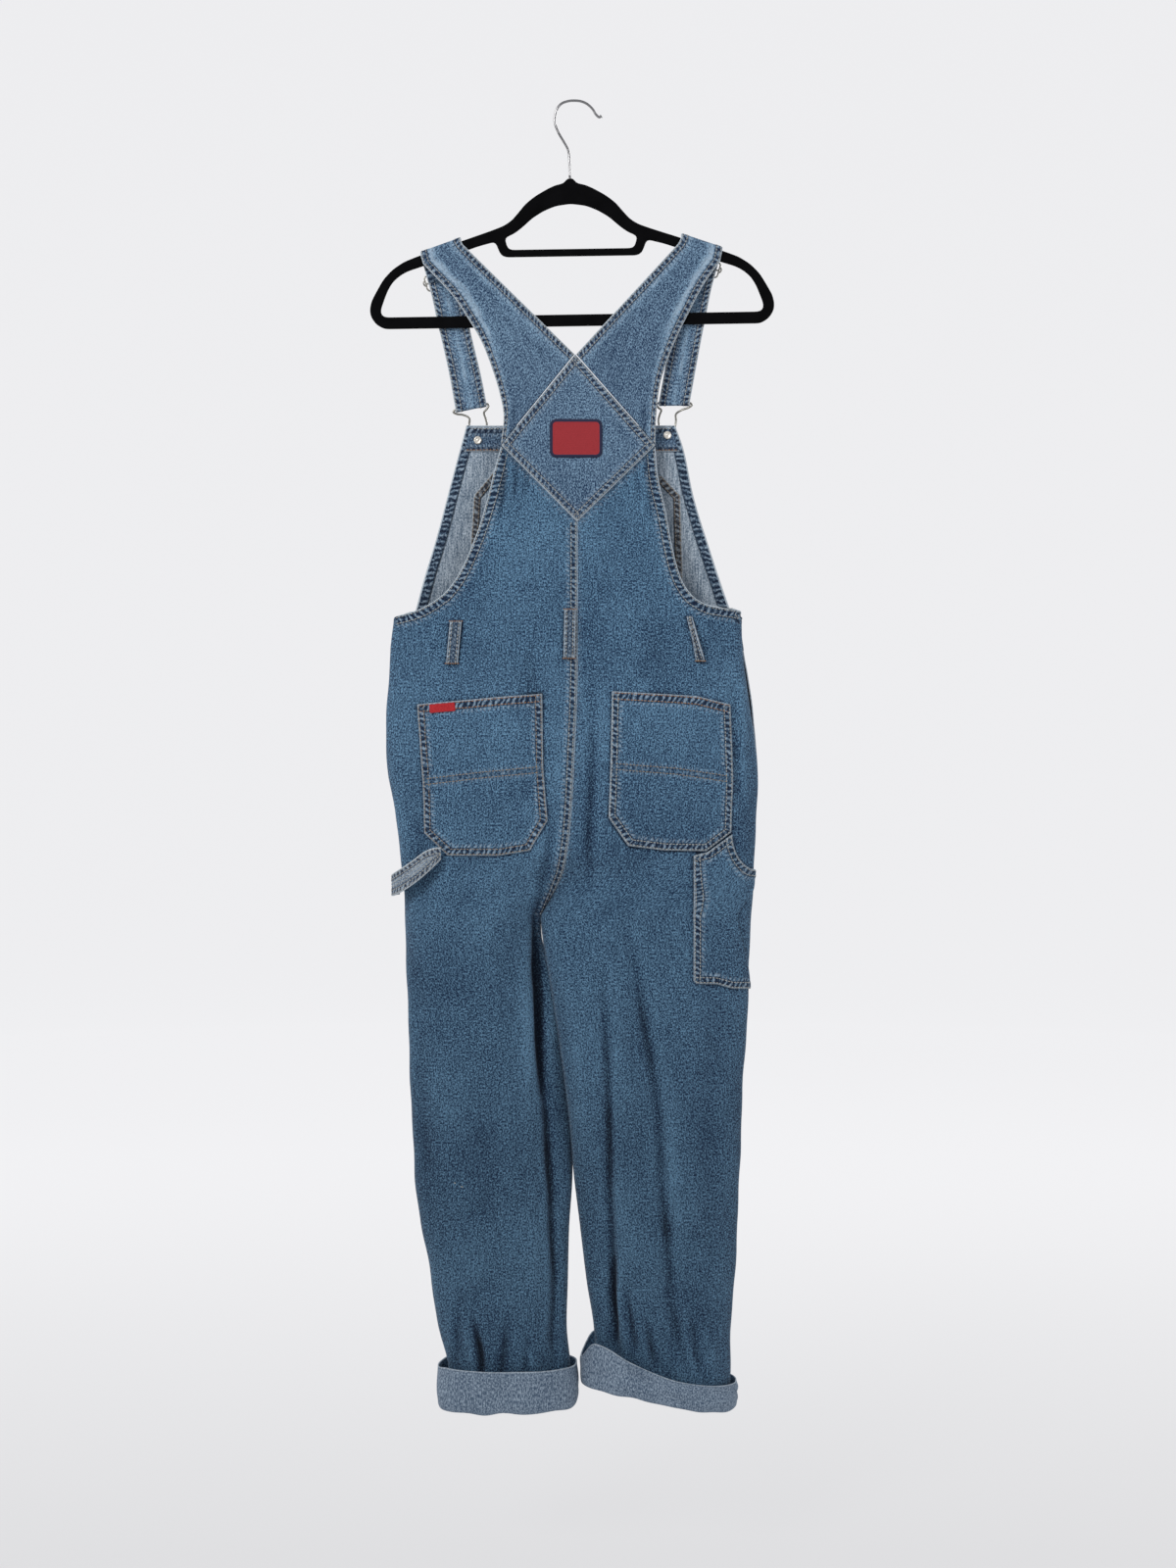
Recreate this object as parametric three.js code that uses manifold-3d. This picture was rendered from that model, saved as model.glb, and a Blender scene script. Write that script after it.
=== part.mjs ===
// Denim bib overalls hung by their shoulder straps over a slim clothes hanger.
// Millimetres. +Z is up, -Y is behind the wearer and +X is the wearer's right hand.
// The origin is inside the top bend of the hanger's hook, where the hanger hangs.
import * as THREE from 'three';
import { mergeVertices } from 'three/addons/utils/BufferGeometryUtils.js';
import Module from 'manifold-3d';

const wasm = await Module();
wasm.setup();

// ---- driving dimensions -------------------------------------------------------------------
const CLOTH = 1.5; // one layer of denim with its seams
const GAP = 0.4; // between pieces that meet
const LIFT = 0.4; // between a panel and what is sewn on it
const STRAP_THICK = 1.6;
const STRAP_WIDTH = 34.5;
const WIRE = 2.4; // buckle and slide wire
const HOOK_WIRE = 2.8;
const HANGER_THICK = 5;
const HANGER_TILT = THREE.MathUtils.degToRad(0.9);
const HANGER_TOP = new THREE.Vector3(-5.75, 0, -85);

const WAIST = -574; // where bib and back end and the side openings begin
const WAISTBAND = 38;
const CROTCH = -907;
const SPREAD = [-828, -905]; // the body divides into legs between these heights
const LEG_END = -1445;
const BODY_ROUND = 2.6; // superellipse powers of the body and leg sections
const LEG_ROUND = 2.25;

const YOKE = { top: [0, -282.5], left: [-82, -384.2], bottom: [2, -469.5], right: [88.8, -384.2] };

const LOOKS = {
  denim: { color: 0x55718c, roughness: 0.92, metalness: 0 },
  denim_wrong: { color: 0x8d9dab, roughness: 0.95, metalness: 0 },
  denim_dark: { color: 0x3d5570, roughness: 0.92, metalness: 0 },
  red_cloth: { color: 0xb0303a, roughness: 0.9, metalness: 0 },
  nickel: { color: 0xc6c4bf, roughness: 0.3, metalness: 1 },
  velvet: { color: 0x0c0c0d, roughness: 1, metalness: 0 },
  chrome: { color: 0xd6d6d8, roughness: 0.15, metalness: 1 },
};

// ---- numbers ------------------------------------------------------------------------------
const smooth = (from, to, value) => {
  const s = Math.min(1, Math.max(0, (value - from) / (to - from)));
  return s * s * (3 - 2 * s);
};
const mix = (a, b, s) => a + (b - a) * s;

// A smooth curve through [height, value] pairs, which run downwards; flat past both ends.
function profile(pairs) {
  const z = pairs.map((p) => p[0]);
  const v = pairs.map((p) => p[1]);
  const last = z.length - 1;
  const chord = (i) => (v[i + 1] - v[i]) / (z[i + 1] - z[i]);
  const slope = v.map((_, i) => {
    if (i === 0) return chord(0);
    if (i === last) return chord(last - 1);
    const [a, b] = [chord(i - 1), chord(i)];
    return a * b <= 0 ? 0 : (2 * a * b) / (a + b);
  });
  return (at) => {
    if (at >= z[0]) return v[0];
    if (at <= z[last]) return v[last];
    let i = 0;
    while (at < z[i + 1]) i += 1;
    const span = z[i + 1] - z[i];
    const s = (at - z[i]) / span;
    const [s2, s3] = [s * s, s * s * s];
    return (
      (2 * s3 - 3 * s2 + 1) * v[i] + (s3 - 2 * s2 + s) * span * slope[i] +
      (3 * s2 - 2 * s3) * v[i + 1] + (s3 - s2) * span * slope[i + 1]
    );
  };
}

// ---- the garment's form: profiles down its height -------------------------------------------
// Each side's outer edge, which is the side seam below the waist.
const OUTER = {
  left: profile([[-574, -201.5], [-606, -205.5], [-714, -210.5], [-748, -209], [-794, -199.5],
    [-852, -193], [-902, -190], [-1033, -185.6], [-1191, -179], [-1248, -172], [-1301, -162],
    [-1354, -154], [-1412, -142], [-1450, -149]]),
  right: profile([[-568, 185], [-606, 186], [-640, 189], [-672, 194.5], [-712, 200], [-744, 203],
    [-806, 201.5], [-856, 199], [-904, 196], [-1011, 192], [-1112, 186], [-1222, 182],
    [-1301, 178], [-1380, 173], [-1450, 172]]),
};
// On the right the front stands out a little past the back, along its side opening.
const FRONT_PROUD = profile([[-596, 0], [-640, 3], [-672, 3.4], [-700, 1.6], [-744, 0]]);
// The open edges above the waist: the back's armholes and the bib's sides.
const ARMHOLE = {
  left: profile([[-384, -82], [-410, -89], [-441, -96.5], [-474.5, -106.2], [-500.5, -116],
    [-525.5, -127.5], [-547.5, -143], [-558.3, -157], [-568, -176.3], [-574, -200]]),
  right: profile([[-387.5, 88.8], [-414.5, 91], [-458.7, 100.4], [-498.8, 107.7],
    [-529.6, 116], [-550.5, 128.2], [-562.2, 147.2], [-567.6, 184]]),
};
const BIB_SIDE = {
  left: profile([[-359.5, -121.8], [-387.5, -129.5], [-430, -141], [-483, -155.2],
    [-528, -169], [-574, -181.5]]),
  right: profile([[-356, 110.5], [-388, 121.7], [-436, 131.8], [-499, 151.2], [-565, 173.3]]),
};
// The middle seams, and each leg's inner edge below the crotch.
const MIDDLE = {
  back: profile([[-469, 2], [-624, 2], [-748, -2.3], [-805, -5.8], [-850, -12], [-876, -22],
    [-893, -32], [-907, -39]]),
  front: profile([[-574, 0], [-700, -1], [-800, -6], [-850, -13], [-876, -22], [-893, -32],
    [-907, -39]]),
};
const INNER = {
  left: profile([[-907, -39], [-930, -37.5], [-950, -33], [-1000, -20], [-1038, -13],
    [-1096, -6], [-1138, -2.5], [-1195, -3.2], [-1256, -7], [-1314, -8.4], [-1359, -9.7],
    [-1412, -5], [-1450, -3.5]]),
  right: profile([[-907, -39], [-930, -36.2], [-980, -27.8], [-1038, -19], [-1096, -11],
    [-1138, -6], [-1191, -1.8], [-1248, 5], [-1314, 13], [-1367, 21], [-1412, 23],
    [-1450, 24]]),
};
// How far the legs' inner edges pass each other, the right one behind the wearer.
const CROSSING = profile([[-907, 0], [-945, 9], [-975, 12.5], [-1110, 12.5], [-1170, 6.5],
  [-1215, 0]]);
// How far each layer stands from the plane of the side seams.
const DEPTH = {
  back: profile([[-150, 4.9], [-262, 5], [-330, 8], [-400, 11.5], [-470, 15], [-574, 25],
    [-660, 34], [-740, 40], [-840, 41], [-905, 37], [-1000, 33], [-1200, 31], [-1380, 33],
    [-1450, 37]]),
  front: profile([[-340, 10.5], [-400, 12], [-480, 16], [-574, 26], [-660, 33], [-740, 37],
    [-840, 37], [-905, 34], [-1000, 32], [-1200, 31], [-1380, 33], [-1450, 36]]),
};
const OUTWARD = { back: -1, front: 1 };
const SIDE = { left: -1, right: 1 };

// The largest folds: a line down the cloth, how far it stands out (+) or in (-), and its width.
const FOLDS = {
  'back-left': [
    { at: profile([[-880, -46], [-940, -42], [-1038, -40], [-1150, -31], [-1250, -26],
      [-1400, -24]]),
      rise: profile([[-870, 0], [-930, -9], [-1100, -7], [-1400, -6]]), width: 15 },
    { at: profile([[-1000, -112], [-1200, -106], [-1410, -100]]),
      rise: profile([[-980, 0], [-1100, -3], [-1400, -4]]), width: 26 },
  ],
  'back-right': [
    { at: profile([[-887, 60], [-953, 65], [-1006, 73.5], [-1099, 88.5], [-1178, 94],
      [-1300, 103], [-1410, 103]]),
      rise: profile([[-870, 0], [-960, -5], [-1200, -5], [-1400, -7]]), width: 20 },
    { at: profile([[-940, 29], [-1019, 33], [-1112, 36], [-1191, 37], [-1300, 41],
      [-1391, 41]]),
      rise: profile([[-920, 0], [-1010, -3], [-1200, -3], [-1320, -8], [-1400, -10]]), width: 14 },
  ],
  'front-left': [
    { at: profile([[-880, -70], [-1100, -72], [-1400, -70]]),
      rise: profile([[-860, 0], [-960, -6], [-1400, -7]]), width: 18 },
  ],
  'front-right': [
    { at: profile([[-880, 70], [-1100, 84], [-1400, 92]]),
      rise: profile([[-860, 0], [-960, -6], [-1400, -7]]), width: 20 },
  ],
};

const DEEPEST = 0.6; // no fold goes deeper than this part of the room behind it

function foldRise(name, x, z) {
  let rise = 0;
  for (const fold of FOLDS[name]) {
    const away = (x - fold.at(z)) / fold.width;
    rise += fold.rise(z) * Math.exp(-away * away);
  }
  return rise;
}

// ---- cross-sections -----------------------------------------------------------------------
const SECTION_STEPS = 60;

function outerEdge(layer, side, z) {
  const proud = layer === 'front' && side === 'right' ? FRONT_PROUD(z) : 0;
  return OUTER[side](z) + proud;
}

// The open or seamed edge of a panel at a height, and where the panel ends at its middle.
function edgeX(layer, side, z) {
  if (layer === 'back' && z > WAIST + 0.01) {
    const armhole = ARMHOLE[side](z);
    return side === 'left' ? Math.max(armhole, outerEdge(layer, side, z)) :
      Math.min(armhole, outerEdge(layer, side, z));
  }
  if (layer === 'front' && z > WAIST + 0.01) return BIB_SIDE[side](z);
  return outerEdge(layer, side, z);
}

function middleX(layer, side, z) {
  const seam = MIDDLE[layer](z) + SIDE[side] * GAP / 2;
  if (layer === 'front' || z < YOKE.bottom[1]) return seam;
  const corner = YOKE[side];
  const s = (z - YOKE.bottom[1]) / (corner[1] - YOKE.bottom[1]);
  return mix(YOKE.bottom[0], corner[0], s) + SIDE[side] * GAP;
}

// A panel's line at one height, from its side edge to its middle edge, before folds.
function sectionLine(layer, side, z) {
  const spread = smooth(SPREAD[0], SPREAD[1], z);
  const out = OUTWARD[layer];
  const depth = DEPTH[layer](z) - GAP / 2;
  const outer = outerEdge(layer, side, z);
  const centre = MIDDLE[layer](z);
  const half = Math.abs(outer - centre);
  const angle = (x) => Math.asin(Math.min(1, Math.abs(x - centre) / half) ** (BODY_ROUND / 2));
  const from = angle(edgeX(layer, side, z));
  const to = angle(middleX(layer, side, z));
  const inner = INNER[side](z);
  const legMiddle = (outer + inner) / 2;
  const legHalf = Math.abs(outer - inner) / 2;
  const cross = CROSSING(z) * -SIDE[side];
  const line = [];
  for (let i = 0; i <= SECTION_STEPS; i += 1) {
    const s = i / SECTION_STEPS;
    const a = mix(from, to, s);
    const body = [
      centre + SIDE[side] * (half * Math.sin(a) ** (2 / BODY_ROUND)),
      out * (GAP / 2 + depth * Math.cos(a) ** (2 / BODY_ROUND)),
    ];
    const turn = Math.PI * (0.5 - s);
    const reach = Math.sign(turn) * Math.abs(Math.sin(turn)) ** (2 / LEG_ROUND);
    const toInner = smooth(0.1, -1, reach);
    const leg = [
      legMiddle + SIDE[side] * legHalf * reach,
      out * (GAP / 2 + depth * Math.abs(Math.cos(turn)) ** (2 / LEG_ROUND)),
    ];
    const centreY = cross * toInner * spread;
    const y = centreY + mix(body[1], leg[1], spread);
    line.push([mix(body[0], leg[0], spread), y, centreY]);
  }
  const shift = (SIDE[side] * GAP) / 2;
  const end = line[SECTION_STEPS];
  if (z > CROTCH - 1 && z < SPREAD[0]) end[0] = MIDDLE[layer](z) + shift;
  return line;
}

function foldedLine(layer, side, z) {
  const name = `${layer}-${side}`;
  const out = OUTWARD[layer];
  return sectionLine(layer, side, z).map(([x, y, centreY], i) => {
    const s = i / SECTION_STEPS;
    const fade = Math.min(1, 8 * s * (1 - s));
    const reach = out * (y - centreY);
    const rise = Math.max(foldRise(name, x, z) * fade, -DEEPEST * reach);
    return [x, centreY + out * (reach + rise), centreY];
  });
}

// The same line in equal steps of its own length.
function evenly(line, count) {
  const reach = [0];
  for (let i = 1; i < line.length; i += 1) {
    reach.push(reach[i - 1] + Math.hypot(line[i][0] - line[i - 1][0], line[i][1] - line[i - 1][1]));
  }
  const points = [];
  let at = 0;
  for (let k = 0; k <= count; k += 1) {
    const want = (reach[reach.length - 1] * k) / count;
    while (at < line.length - 2 && reach[at + 1] < want) at += 1;
    const span = reach[at + 1] - reach[at] || 1;
    const s = Math.min(1, (want - reach[at]) / span);
    points.push([0, 1, 2].map((k) => mix(line[at][k], line[at + 1][k], s)));
  }
  return points;
}

// Each point also knows the plane in Y that parts the front from the back there.
function panelGrid(layer, side, heights, columns) {
  return heights.map((z) =>
    evenly(foldedLine(layer, side, z), columns).map(([x, y, seamY]) =>
      Object.assign(new THREE.Vector3(x, y, z), { seamY, outward: OUTWARD[layer] })));
}

// A layer's standing-out at any place above the crotch, for pieces that span both sides.
function bodyY(layer, x, z) {
  const side = x < MIDDLE[layer](z) ? 'left' : 'right';
  const centre = MIDDLE[layer](z);
  const half = Math.abs(OUTER[side](Math.min(z, WAIST)) - centre);
  const reach = Math.min(1, Math.abs(x - centre) / half);
  return OUTWARD[layer] * DEPTH[layer](z) * (1 - reach ** BODY_ROUND) ** (1 / BODY_ROUND);
}

// ---- solids -------------------------------------------------------------------------------
function solidGeometry(positions, faces) {
  const geometry = new THREE.BufferGeometry();
  geometry.setAttribute('position', new THREE.Float32BufferAttribute(positions, 3));
  geometry.setIndex(faces);
  let volume = 0;
  const [a, b, c] = [new THREE.Vector3(), new THREE.Vector3(), new THREE.Vector3()];
  for (let i = 0; i < faces.length; i += 3) {
    [a, b, c].forEach((p, k) => p.fromArray(positions, faces[i + k] * 3));
    volume += a.dot(b.cross(c));
  }
  if (volume < 0) {
    for (let i = 0; i < faces.length; i += 3) {
      [faces[i], faces[i + 1]] = [faces[i + 1], faces[i]];
    }
    geometry.setIndex(faces);
  }
  return geometry;
}

function gridNormals(grid) {
  const rows = grid.length;
  const columns = grid[0].length;
  return grid.map((row, i) => row.map((_, j) => {
    const down = grid[Math.min(rows - 1, i + 1)][j].clone().sub(grid[Math.max(0, i - 1)][j]);
    const across = row[Math.min(columns - 1, j + 1)].clone().sub(row[Math.max(0, j - 1)]);
    return across.cross(down).normalize();
  }));
}

// A closed wall between two distances from a grid, measured along its normals.
function wall(grid, from, to, outSign) {
  const normals = gridNormals(grid);
  const rows = grid.length;
  const columns = grid[0].length;
  const positions = [];
  const faces = [];
  for (const away of [from, to]) {
    grid.forEach((row, i) => row.forEach((point, j) => {
      const moved = point.clone().addScaledVector(normals[i][j], outSign * away);
      if (point.outward) {
        const room = Math.max(GAP / 2, point.outward * (moved.y - point.seamY));
        moved.y = point.seamY + point.outward * room;
      }
      positions.push(moved.x, moved.y, moved.z);
    }));
  }
  const layer = rows * columns;
  const at = (i, j, k) => k * layer + i * columns + j;
  const quad = (a, b, c, d) => faces.push(a, b, c, a, c, d);
  for (let i = 0; i + 1 < rows; i += 1) {
    for (let j = 0; j + 1 < columns; j += 1) {
      quad(at(i, j, 0), at(i, j + 1, 0), at(i + 1, j + 1, 0), at(i + 1, j, 0));
      quad(at(i, j, 1), at(i + 1, j, 1), at(i + 1, j + 1, 1), at(i, j + 1, 1));
    }
  }
  for (let i = 0; i + 1 < rows; i += 1) {
    quad(at(i, 0, 0), at(i + 1, 0, 0), at(i + 1, 0, 1), at(i, 0, 1));
    quad(at(i, columns - 1, 0), at(i, columns - 1, 1), at(i + 1, columns - 1, 1),
      at(i + 1, columns - 1, 0));
  }
  for (let j = 0; j + 1 < columns; j += 1) {
    quad(at(0, j, 0), at(0, j, 1), at(0, j + 1, 1), at(0, j + 1, 0));
    quad(at(rows - 1, j, 0), at(rows - 1, j + 1, 0), at(rows - 1, j + 1, 1), at(rows - 1, j, 1));
  }
  return solidGeometry(positions, faces);
}

function toManifold(geometry) {
  const bare = geometry.clone();
  bare.deleteAttribute('normal');
  bare.deleteAttribute('uv');
  const merged = mergeVertices(bare, 1e-4);
  return new wasm.Manifold(new wasm.Mesh({
    numProp: 3,
    vertProperties: merged.attributes.position.array,
    triVerts: new Uint32Array(merged.index.array),
  }));
}

function fromManifold(solid) {
  const mesh = solid.getMesh();
  const geometry = new THREE.BufferGeometry();
  geometry.setAttribute('position', new THREE.Float32BufferAttribute(mesh.vertProperties, 3));
  geometry.setIndex(new THREE.Uint32BufferAttribute(mesh.triVerts, 1));
  return geometry;
}

// A cutter: an outline in X and Z, extruded along Y.
function prism(outline, fromY, toY) {
  const shape = new THREE.Shape(outline.map(([x, z]) => new THREE.Vector2(x, z)));
  const geometry = new THREE.ExtrudeGeometry(shape, { depth: toY - fromY, bevelEnabled: false });
  geometry.rotateX(Math.PI / 2);
  geometry.translate(0, toY, 0);
  return geometry;
}

function clip(geometry, outline, fromY, toY) {
  return fromManifold(toManifold(geometry).intersect(toManifold(prism(outline, fromY, toY))));
}

// A ribbon through pairs of edge points, of one thickness, centred on them.
function ribbon(pairs, thickness) {
  const grid = pairs.map((pair) => pair.map((point) => new THREE.Vector3(...point)));
  return wall(grid, -thickness / 2, thickness / 2, 1);
}

function tubeAlong(points, diameter, sides, steps, closed = false) {
  const path = new THREE.CatmullRomCurve3(
    points.map((p) => new THREE.Vector3(...p)), closed, 'centripetal');
  const ring = Array.from({ length: sides }, (_, i) => {
    const a = (2 * Math.PI * i) / sides;
    return new THREE.Vector2(Math.cos(a), Math.sin(a)).multiplyScalar(diameter / 2);
  });
  const options = { steps, extrudePath: path, bevelEnabled: false };
  return new THREE.ExtrudeGeometry(new THREE.Shape(ring), options);
}

const overalls = new THREE.Group();

function add(name, geometry, look, parent = overalls) {
  const bare = geometry.clone();
  bare.deleteAttribute('normal');
  bare.deleteAttribute('uv');
  const merged = mergeVertices(bare, 1e-4);
  merged.computeVertexNormals();
  const mesh = new THREE.Mesh(merged, new THREE.MeshStandardMaterial(LOOKS[look]));
  mesh.name = name;
  parent.add(mesh);
  return mesh;
}

// ---- body and legs ------------------------------------------------------------------------
const COLUMNS = 10;
const LEG_ROWS = [-650, -700, -750, -795, -830, -858, -878, -894, -906, -925, -955, -1000, -1055,
  -1115, -1175, -1235, -1300, -1360, -1405, LEG_END];
const BACK_TOP_ROWS = [-386.5, -410, -440, -470.5, -500, -528, -549, -560, -567.5, -574, -605];
const grids = {};
const outSign = (layer, side) => -SIDE[side] * OUTWARD[layer];

for (const side of ['left', 'right']) {
  grids[`back-${side}`] = panelGrid('back', side, [...BACK_TOP_ROWS, ...LEG_ROWS], COLUMNS);
  const waistLine = WAIST - WAISTBAND - GAP;
  grids[`front-${side}`] = panelGrid('front', side, [waistLine, ...LEG_ROWS], COLUMNS);
  for (const layer of ['back', 'front']) {
    const grid = grids[`${layer}-${side}`];
    add(`${layer}_${side}`, wall(grid, -CLOTH, 0, outSign(layer, side)), 'denim');
  }
}

// ---- yoke ---------------------------------------------------------------------------------
function yokePoint(across, down) {
  const inset = 0.004;
  const s = mix(inset, 1 - inset, across);
  const t = mix(inset, 1 - inset, down);
  const corner = (k) =>
    (1 - s) * (1 - t) * YOKE.top[k] + s * (1 - t) * YOKE.right[k] +
    (1 - s) * t * YOKE.left[k] + s * t * YOKE.bottom[k];
  const [x, z] = [corner(0), corner(1)];
  return new THREE.Vector3(x, bodyY('back', x, z), z);
}
const YOKE_STEPS = 5;
const yokeGrid = Array.from({ length: YOKE_STEPS + 1 }, (_, i) =>
  Array.from({ length: YOKE_STEPS + 1 }, (__, j) => yokePoint(j / YOKE_STEPS, i / YOKE_STEPS)));
add('yoke', wall(yokeGrid, -CLOTH, 0, -1), 'denim');

// ---- bib, waistband -----------------------------------------------------------------------
function spanGrid(layer, heights, leftX, rightX, columns) {
  return heights.map((z) => Array.from({ length: columns + 1 }, (_, j) => {
    const x = mix(leftX(z), rightX(z), j / columns);
    return new THREE.Vector3(x, bodyY(layer, x, z), z);
  }));
}
const BIB_TOP = -359;
const bibRows = [BIB_TOP, -385, -420, -455, -490, -525, -550, WAIST];
const bibGrid = spanGrid('front', bibRows, BIB_SIDE.left, BIB_SIDE.right, 10);
add('bib', wall(bibGrid, -CLOTH, 0, 1), 'denim');

const FACING_HEIGHT = 28;
const facingGrid = spanGrid('front', [BIB_TOP - 1, BIB_TOP - 14, BIB_TOP - FACING_HEIGHT],
  (z) => BIB_SIDE.left(z) + 6, (z) => BIB_SIDE.right(z) - 6, 10);
add('bib_facing', wall(facingGrid, -CLOTH - LIFT - 1, -CLOTH - LIFT, 1), 'denim_dark');

const waistTop = WAIST - GAP;
const waistGrid = ['left', 'right'].map((side) => {
  const rows = panelGrid('front', side, [waistTop, waistTop - 19, waistTop - WAISTBAND + GAP], 8);
  return side === 'left' ? rows : rows.map((row) => row.slice().reverse());
});
const waistbandGrid = waistGrid[0].map((row, i) => [...row.slice(0, -1), ...waistGrid[1][i]]);
add('waistband', wall(waistbandGrid, -CLOTH, 0.4, 1), 'denim');

// ---- pockets and what lies on the panels ---------------------------------------------------
function onPanel(name, outline, thickness, lift = LIFT) {
  const [layer, side] = name.split('-');
  const sheet = wall(grids[name], lift, lift + thickness, outSign(layer, side));
  return clip(sheet, outline, layer === 'back' ? -90 : 0, layer === 'back' ? 0 : 90);
}

const BACK_POCKET = {
  left: [[-173.5, -672.5], [-36, -661], [-34.8, -742], [-30.5, -800], [-49, -832.5],
    [-84.5, -838.5], [-139.5, -838.5], [-165, -814], [-167, -760]],
  right: [[40.5, -658.5], [134, -663.8], [170.3, -672.6], [173.2, -755], [171.3, -813],
    [143.7, -833.7], [97.5, -832.7], [58.2, -827.8], [36.6, -796.5], [38.6, -739.5]],
};
for (const side of ['left', 'right']) {
  add(`back_pocket_${side}`, onPanel(`back-${side}`, BACK_POCKET[side], CLOTH), 'denim');
}

// The tool pocket's mouth is a quarter of an ellipse, from its inner corner to the side seam.
const MOUTH = { centre: [204, -815.4], across: 31.5, down: 41, steps: 5 };
const mouth = Array.from({ length: MOUTH.steps + 1 }, (_, i) => {
  const a = (Math.PI / 2) * (i / MOUTH.steps);
  return [MOUTH.centre[0] - MOUTH.across * Math.cos(a), MOUTH.centre[1] - MOUTH.down * Math.sin(a)];
});
const TOOL_POCKET = [[130, -838.4], [145.4, -834.8], ...mouth, [206, -989], [172.5, -985.5],
  [155.6, -980.3], [133, -979.3], [130, -976]];
add('tool_pocket', onPanel('back-right', TOOL_POCKET, CLOTH), 'denim');

// The bib pocket lies on the bib.
const BIB_POCKET = [[-90.5, -409], [97, -415], [118, -437], [121, -543], [104, -556],
  [-104, -556], [-121, -543], [-114, -437]];
const bibPocketSheet = wall(bibGrid, LIFT, LIFT + CLOTH, 1);
add('bib_pocket', clip(bibPocketSheet, BIB_POCKET, 0, 90), 'denim');

// ---- patch and woven tab --------------------------------------------------------------------
function roundedBox(x, z, width, height, radius, turn) {
  const corners = [[1, 1], [-1, 1], [-1, -1], [1, -1]];
  const outline = [];
  corners.forEach(([sx, sz], k) => {
    for (let i = 0; i <= 3; i += 1) {
      const a = (Math.PI / 2) * (k + i / 3);
      outline.push([sx * (width / 2 - radius) + radius * Math.cos(a),
        sz * (height / 2 - radius) + radius * Math.sin(a)]);
    }
  });
  const [c, s] = [Math.cos(turn), Math.sin(turn)];
  return outline.map(([u, v]) => [x + u * c - v * s, z + u * s + v * c]);
}
const yokeSheet = wall(yokeGrid, LIFT, LIFT + 1.6, -1);
add('patch', clip(yokeSheet, roundedBox(1, -377, 58, 43, 7, 0), -60, 0), 'red_cloth');

const tabOutline = roundedBox(-145.4, -676.6, 28, 9.5, 1, 0.08);
const tabLift = LIFT + CLOTH + LIFT;
add('pocket_label', onPanel('back-left', tabOutline, 0.8, tabLift), 'red_cloth');

// ---- belt loops, hammer loop ----------------------------------------------------------------
// A point on a back panel, moved out from the cloth.
function onBack(side, x, z, out) {
  const line = foldedLine('back', side, z);
  let best = line[0];
  for (let i = 0; i + 1 < line.length; i += 1) {
    const [a, b] = [line[i], line[i + 1]];
    if ((a[0] - x) * (b[0] - x) <= 0) {
      const s = (x - a[0]) / (b[0] - a[0] || 1);
      best = [x, mix(a[1], b[1], s)];
      break;
    }
  }
  return [x, best[1] - out, z];
}

// top and bottom are the loop's end middles. Its middle stands off by rise and turns edge on.
function beltLoop(side, top, bottom, width, rise, turn) {
  const steps = 8;
  const pairs = Array.from({ length: steps + 1 }, (_, i) => {
    const s = i / steps;
    const [x, z] = [mix(top[0], bottom[0], s), mix(top[1], bottom[1], s)];
    const arch = Math.sin(Math.PI * s) ** 0.8;
    const [c, d] = [Math.cos(turn * arch) * width / 2, Math.sin(turn * arch) * width / 2];
    const base = onBack(side, x, z, 2.2 + rise * arch + Math.abs(d));
    return [[x - c, base[1] + d, z], [x + c, base[1] - d, z]];
  });
  return ribbon(pairs, 2);
}
add('belt_loop_left', beltLoop('left', [-131.5, -580.5], [-135.5, -627.5], 12.7, 1.5, 0), 'denim');
add('belt_loop_centre', beltLoop('left', [-5.5, -567.5], [-6.5, -622], 12.4, 1.2, 0), 'denim');
add('belt_loop_right', beltLoop('right', [126, -575.5], [138, -624.5], 12.4, 5, 1.1), 'denim');

// The hammer loop leaves the pocket's corner, stands off the thigh and turns into the side seam.
const HAMMER = [ // x, y of the strip's middle, and the heights of its edges
  [-147, -41, -829.6, -842.5], [-152, -43, -829.5, -848], [-163, -44, -833, -858.5],
  [-176, -41.5, -842.5, -869], [-189, -34, -851.5, -877.5], [-198.5, -24, -857.5, -882.5],
  [-202.5, -13.5, -860.5, -884], [-200.5, -4, -861, -883.5], [-195.6, -1.4, -861, -883],
];
add('hammer_loop', ribbon(HAMMER.map(([x, y, top, low]) => [[x, y, top], [x, y, low]]), 2),
  'denim_wrong');

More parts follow.
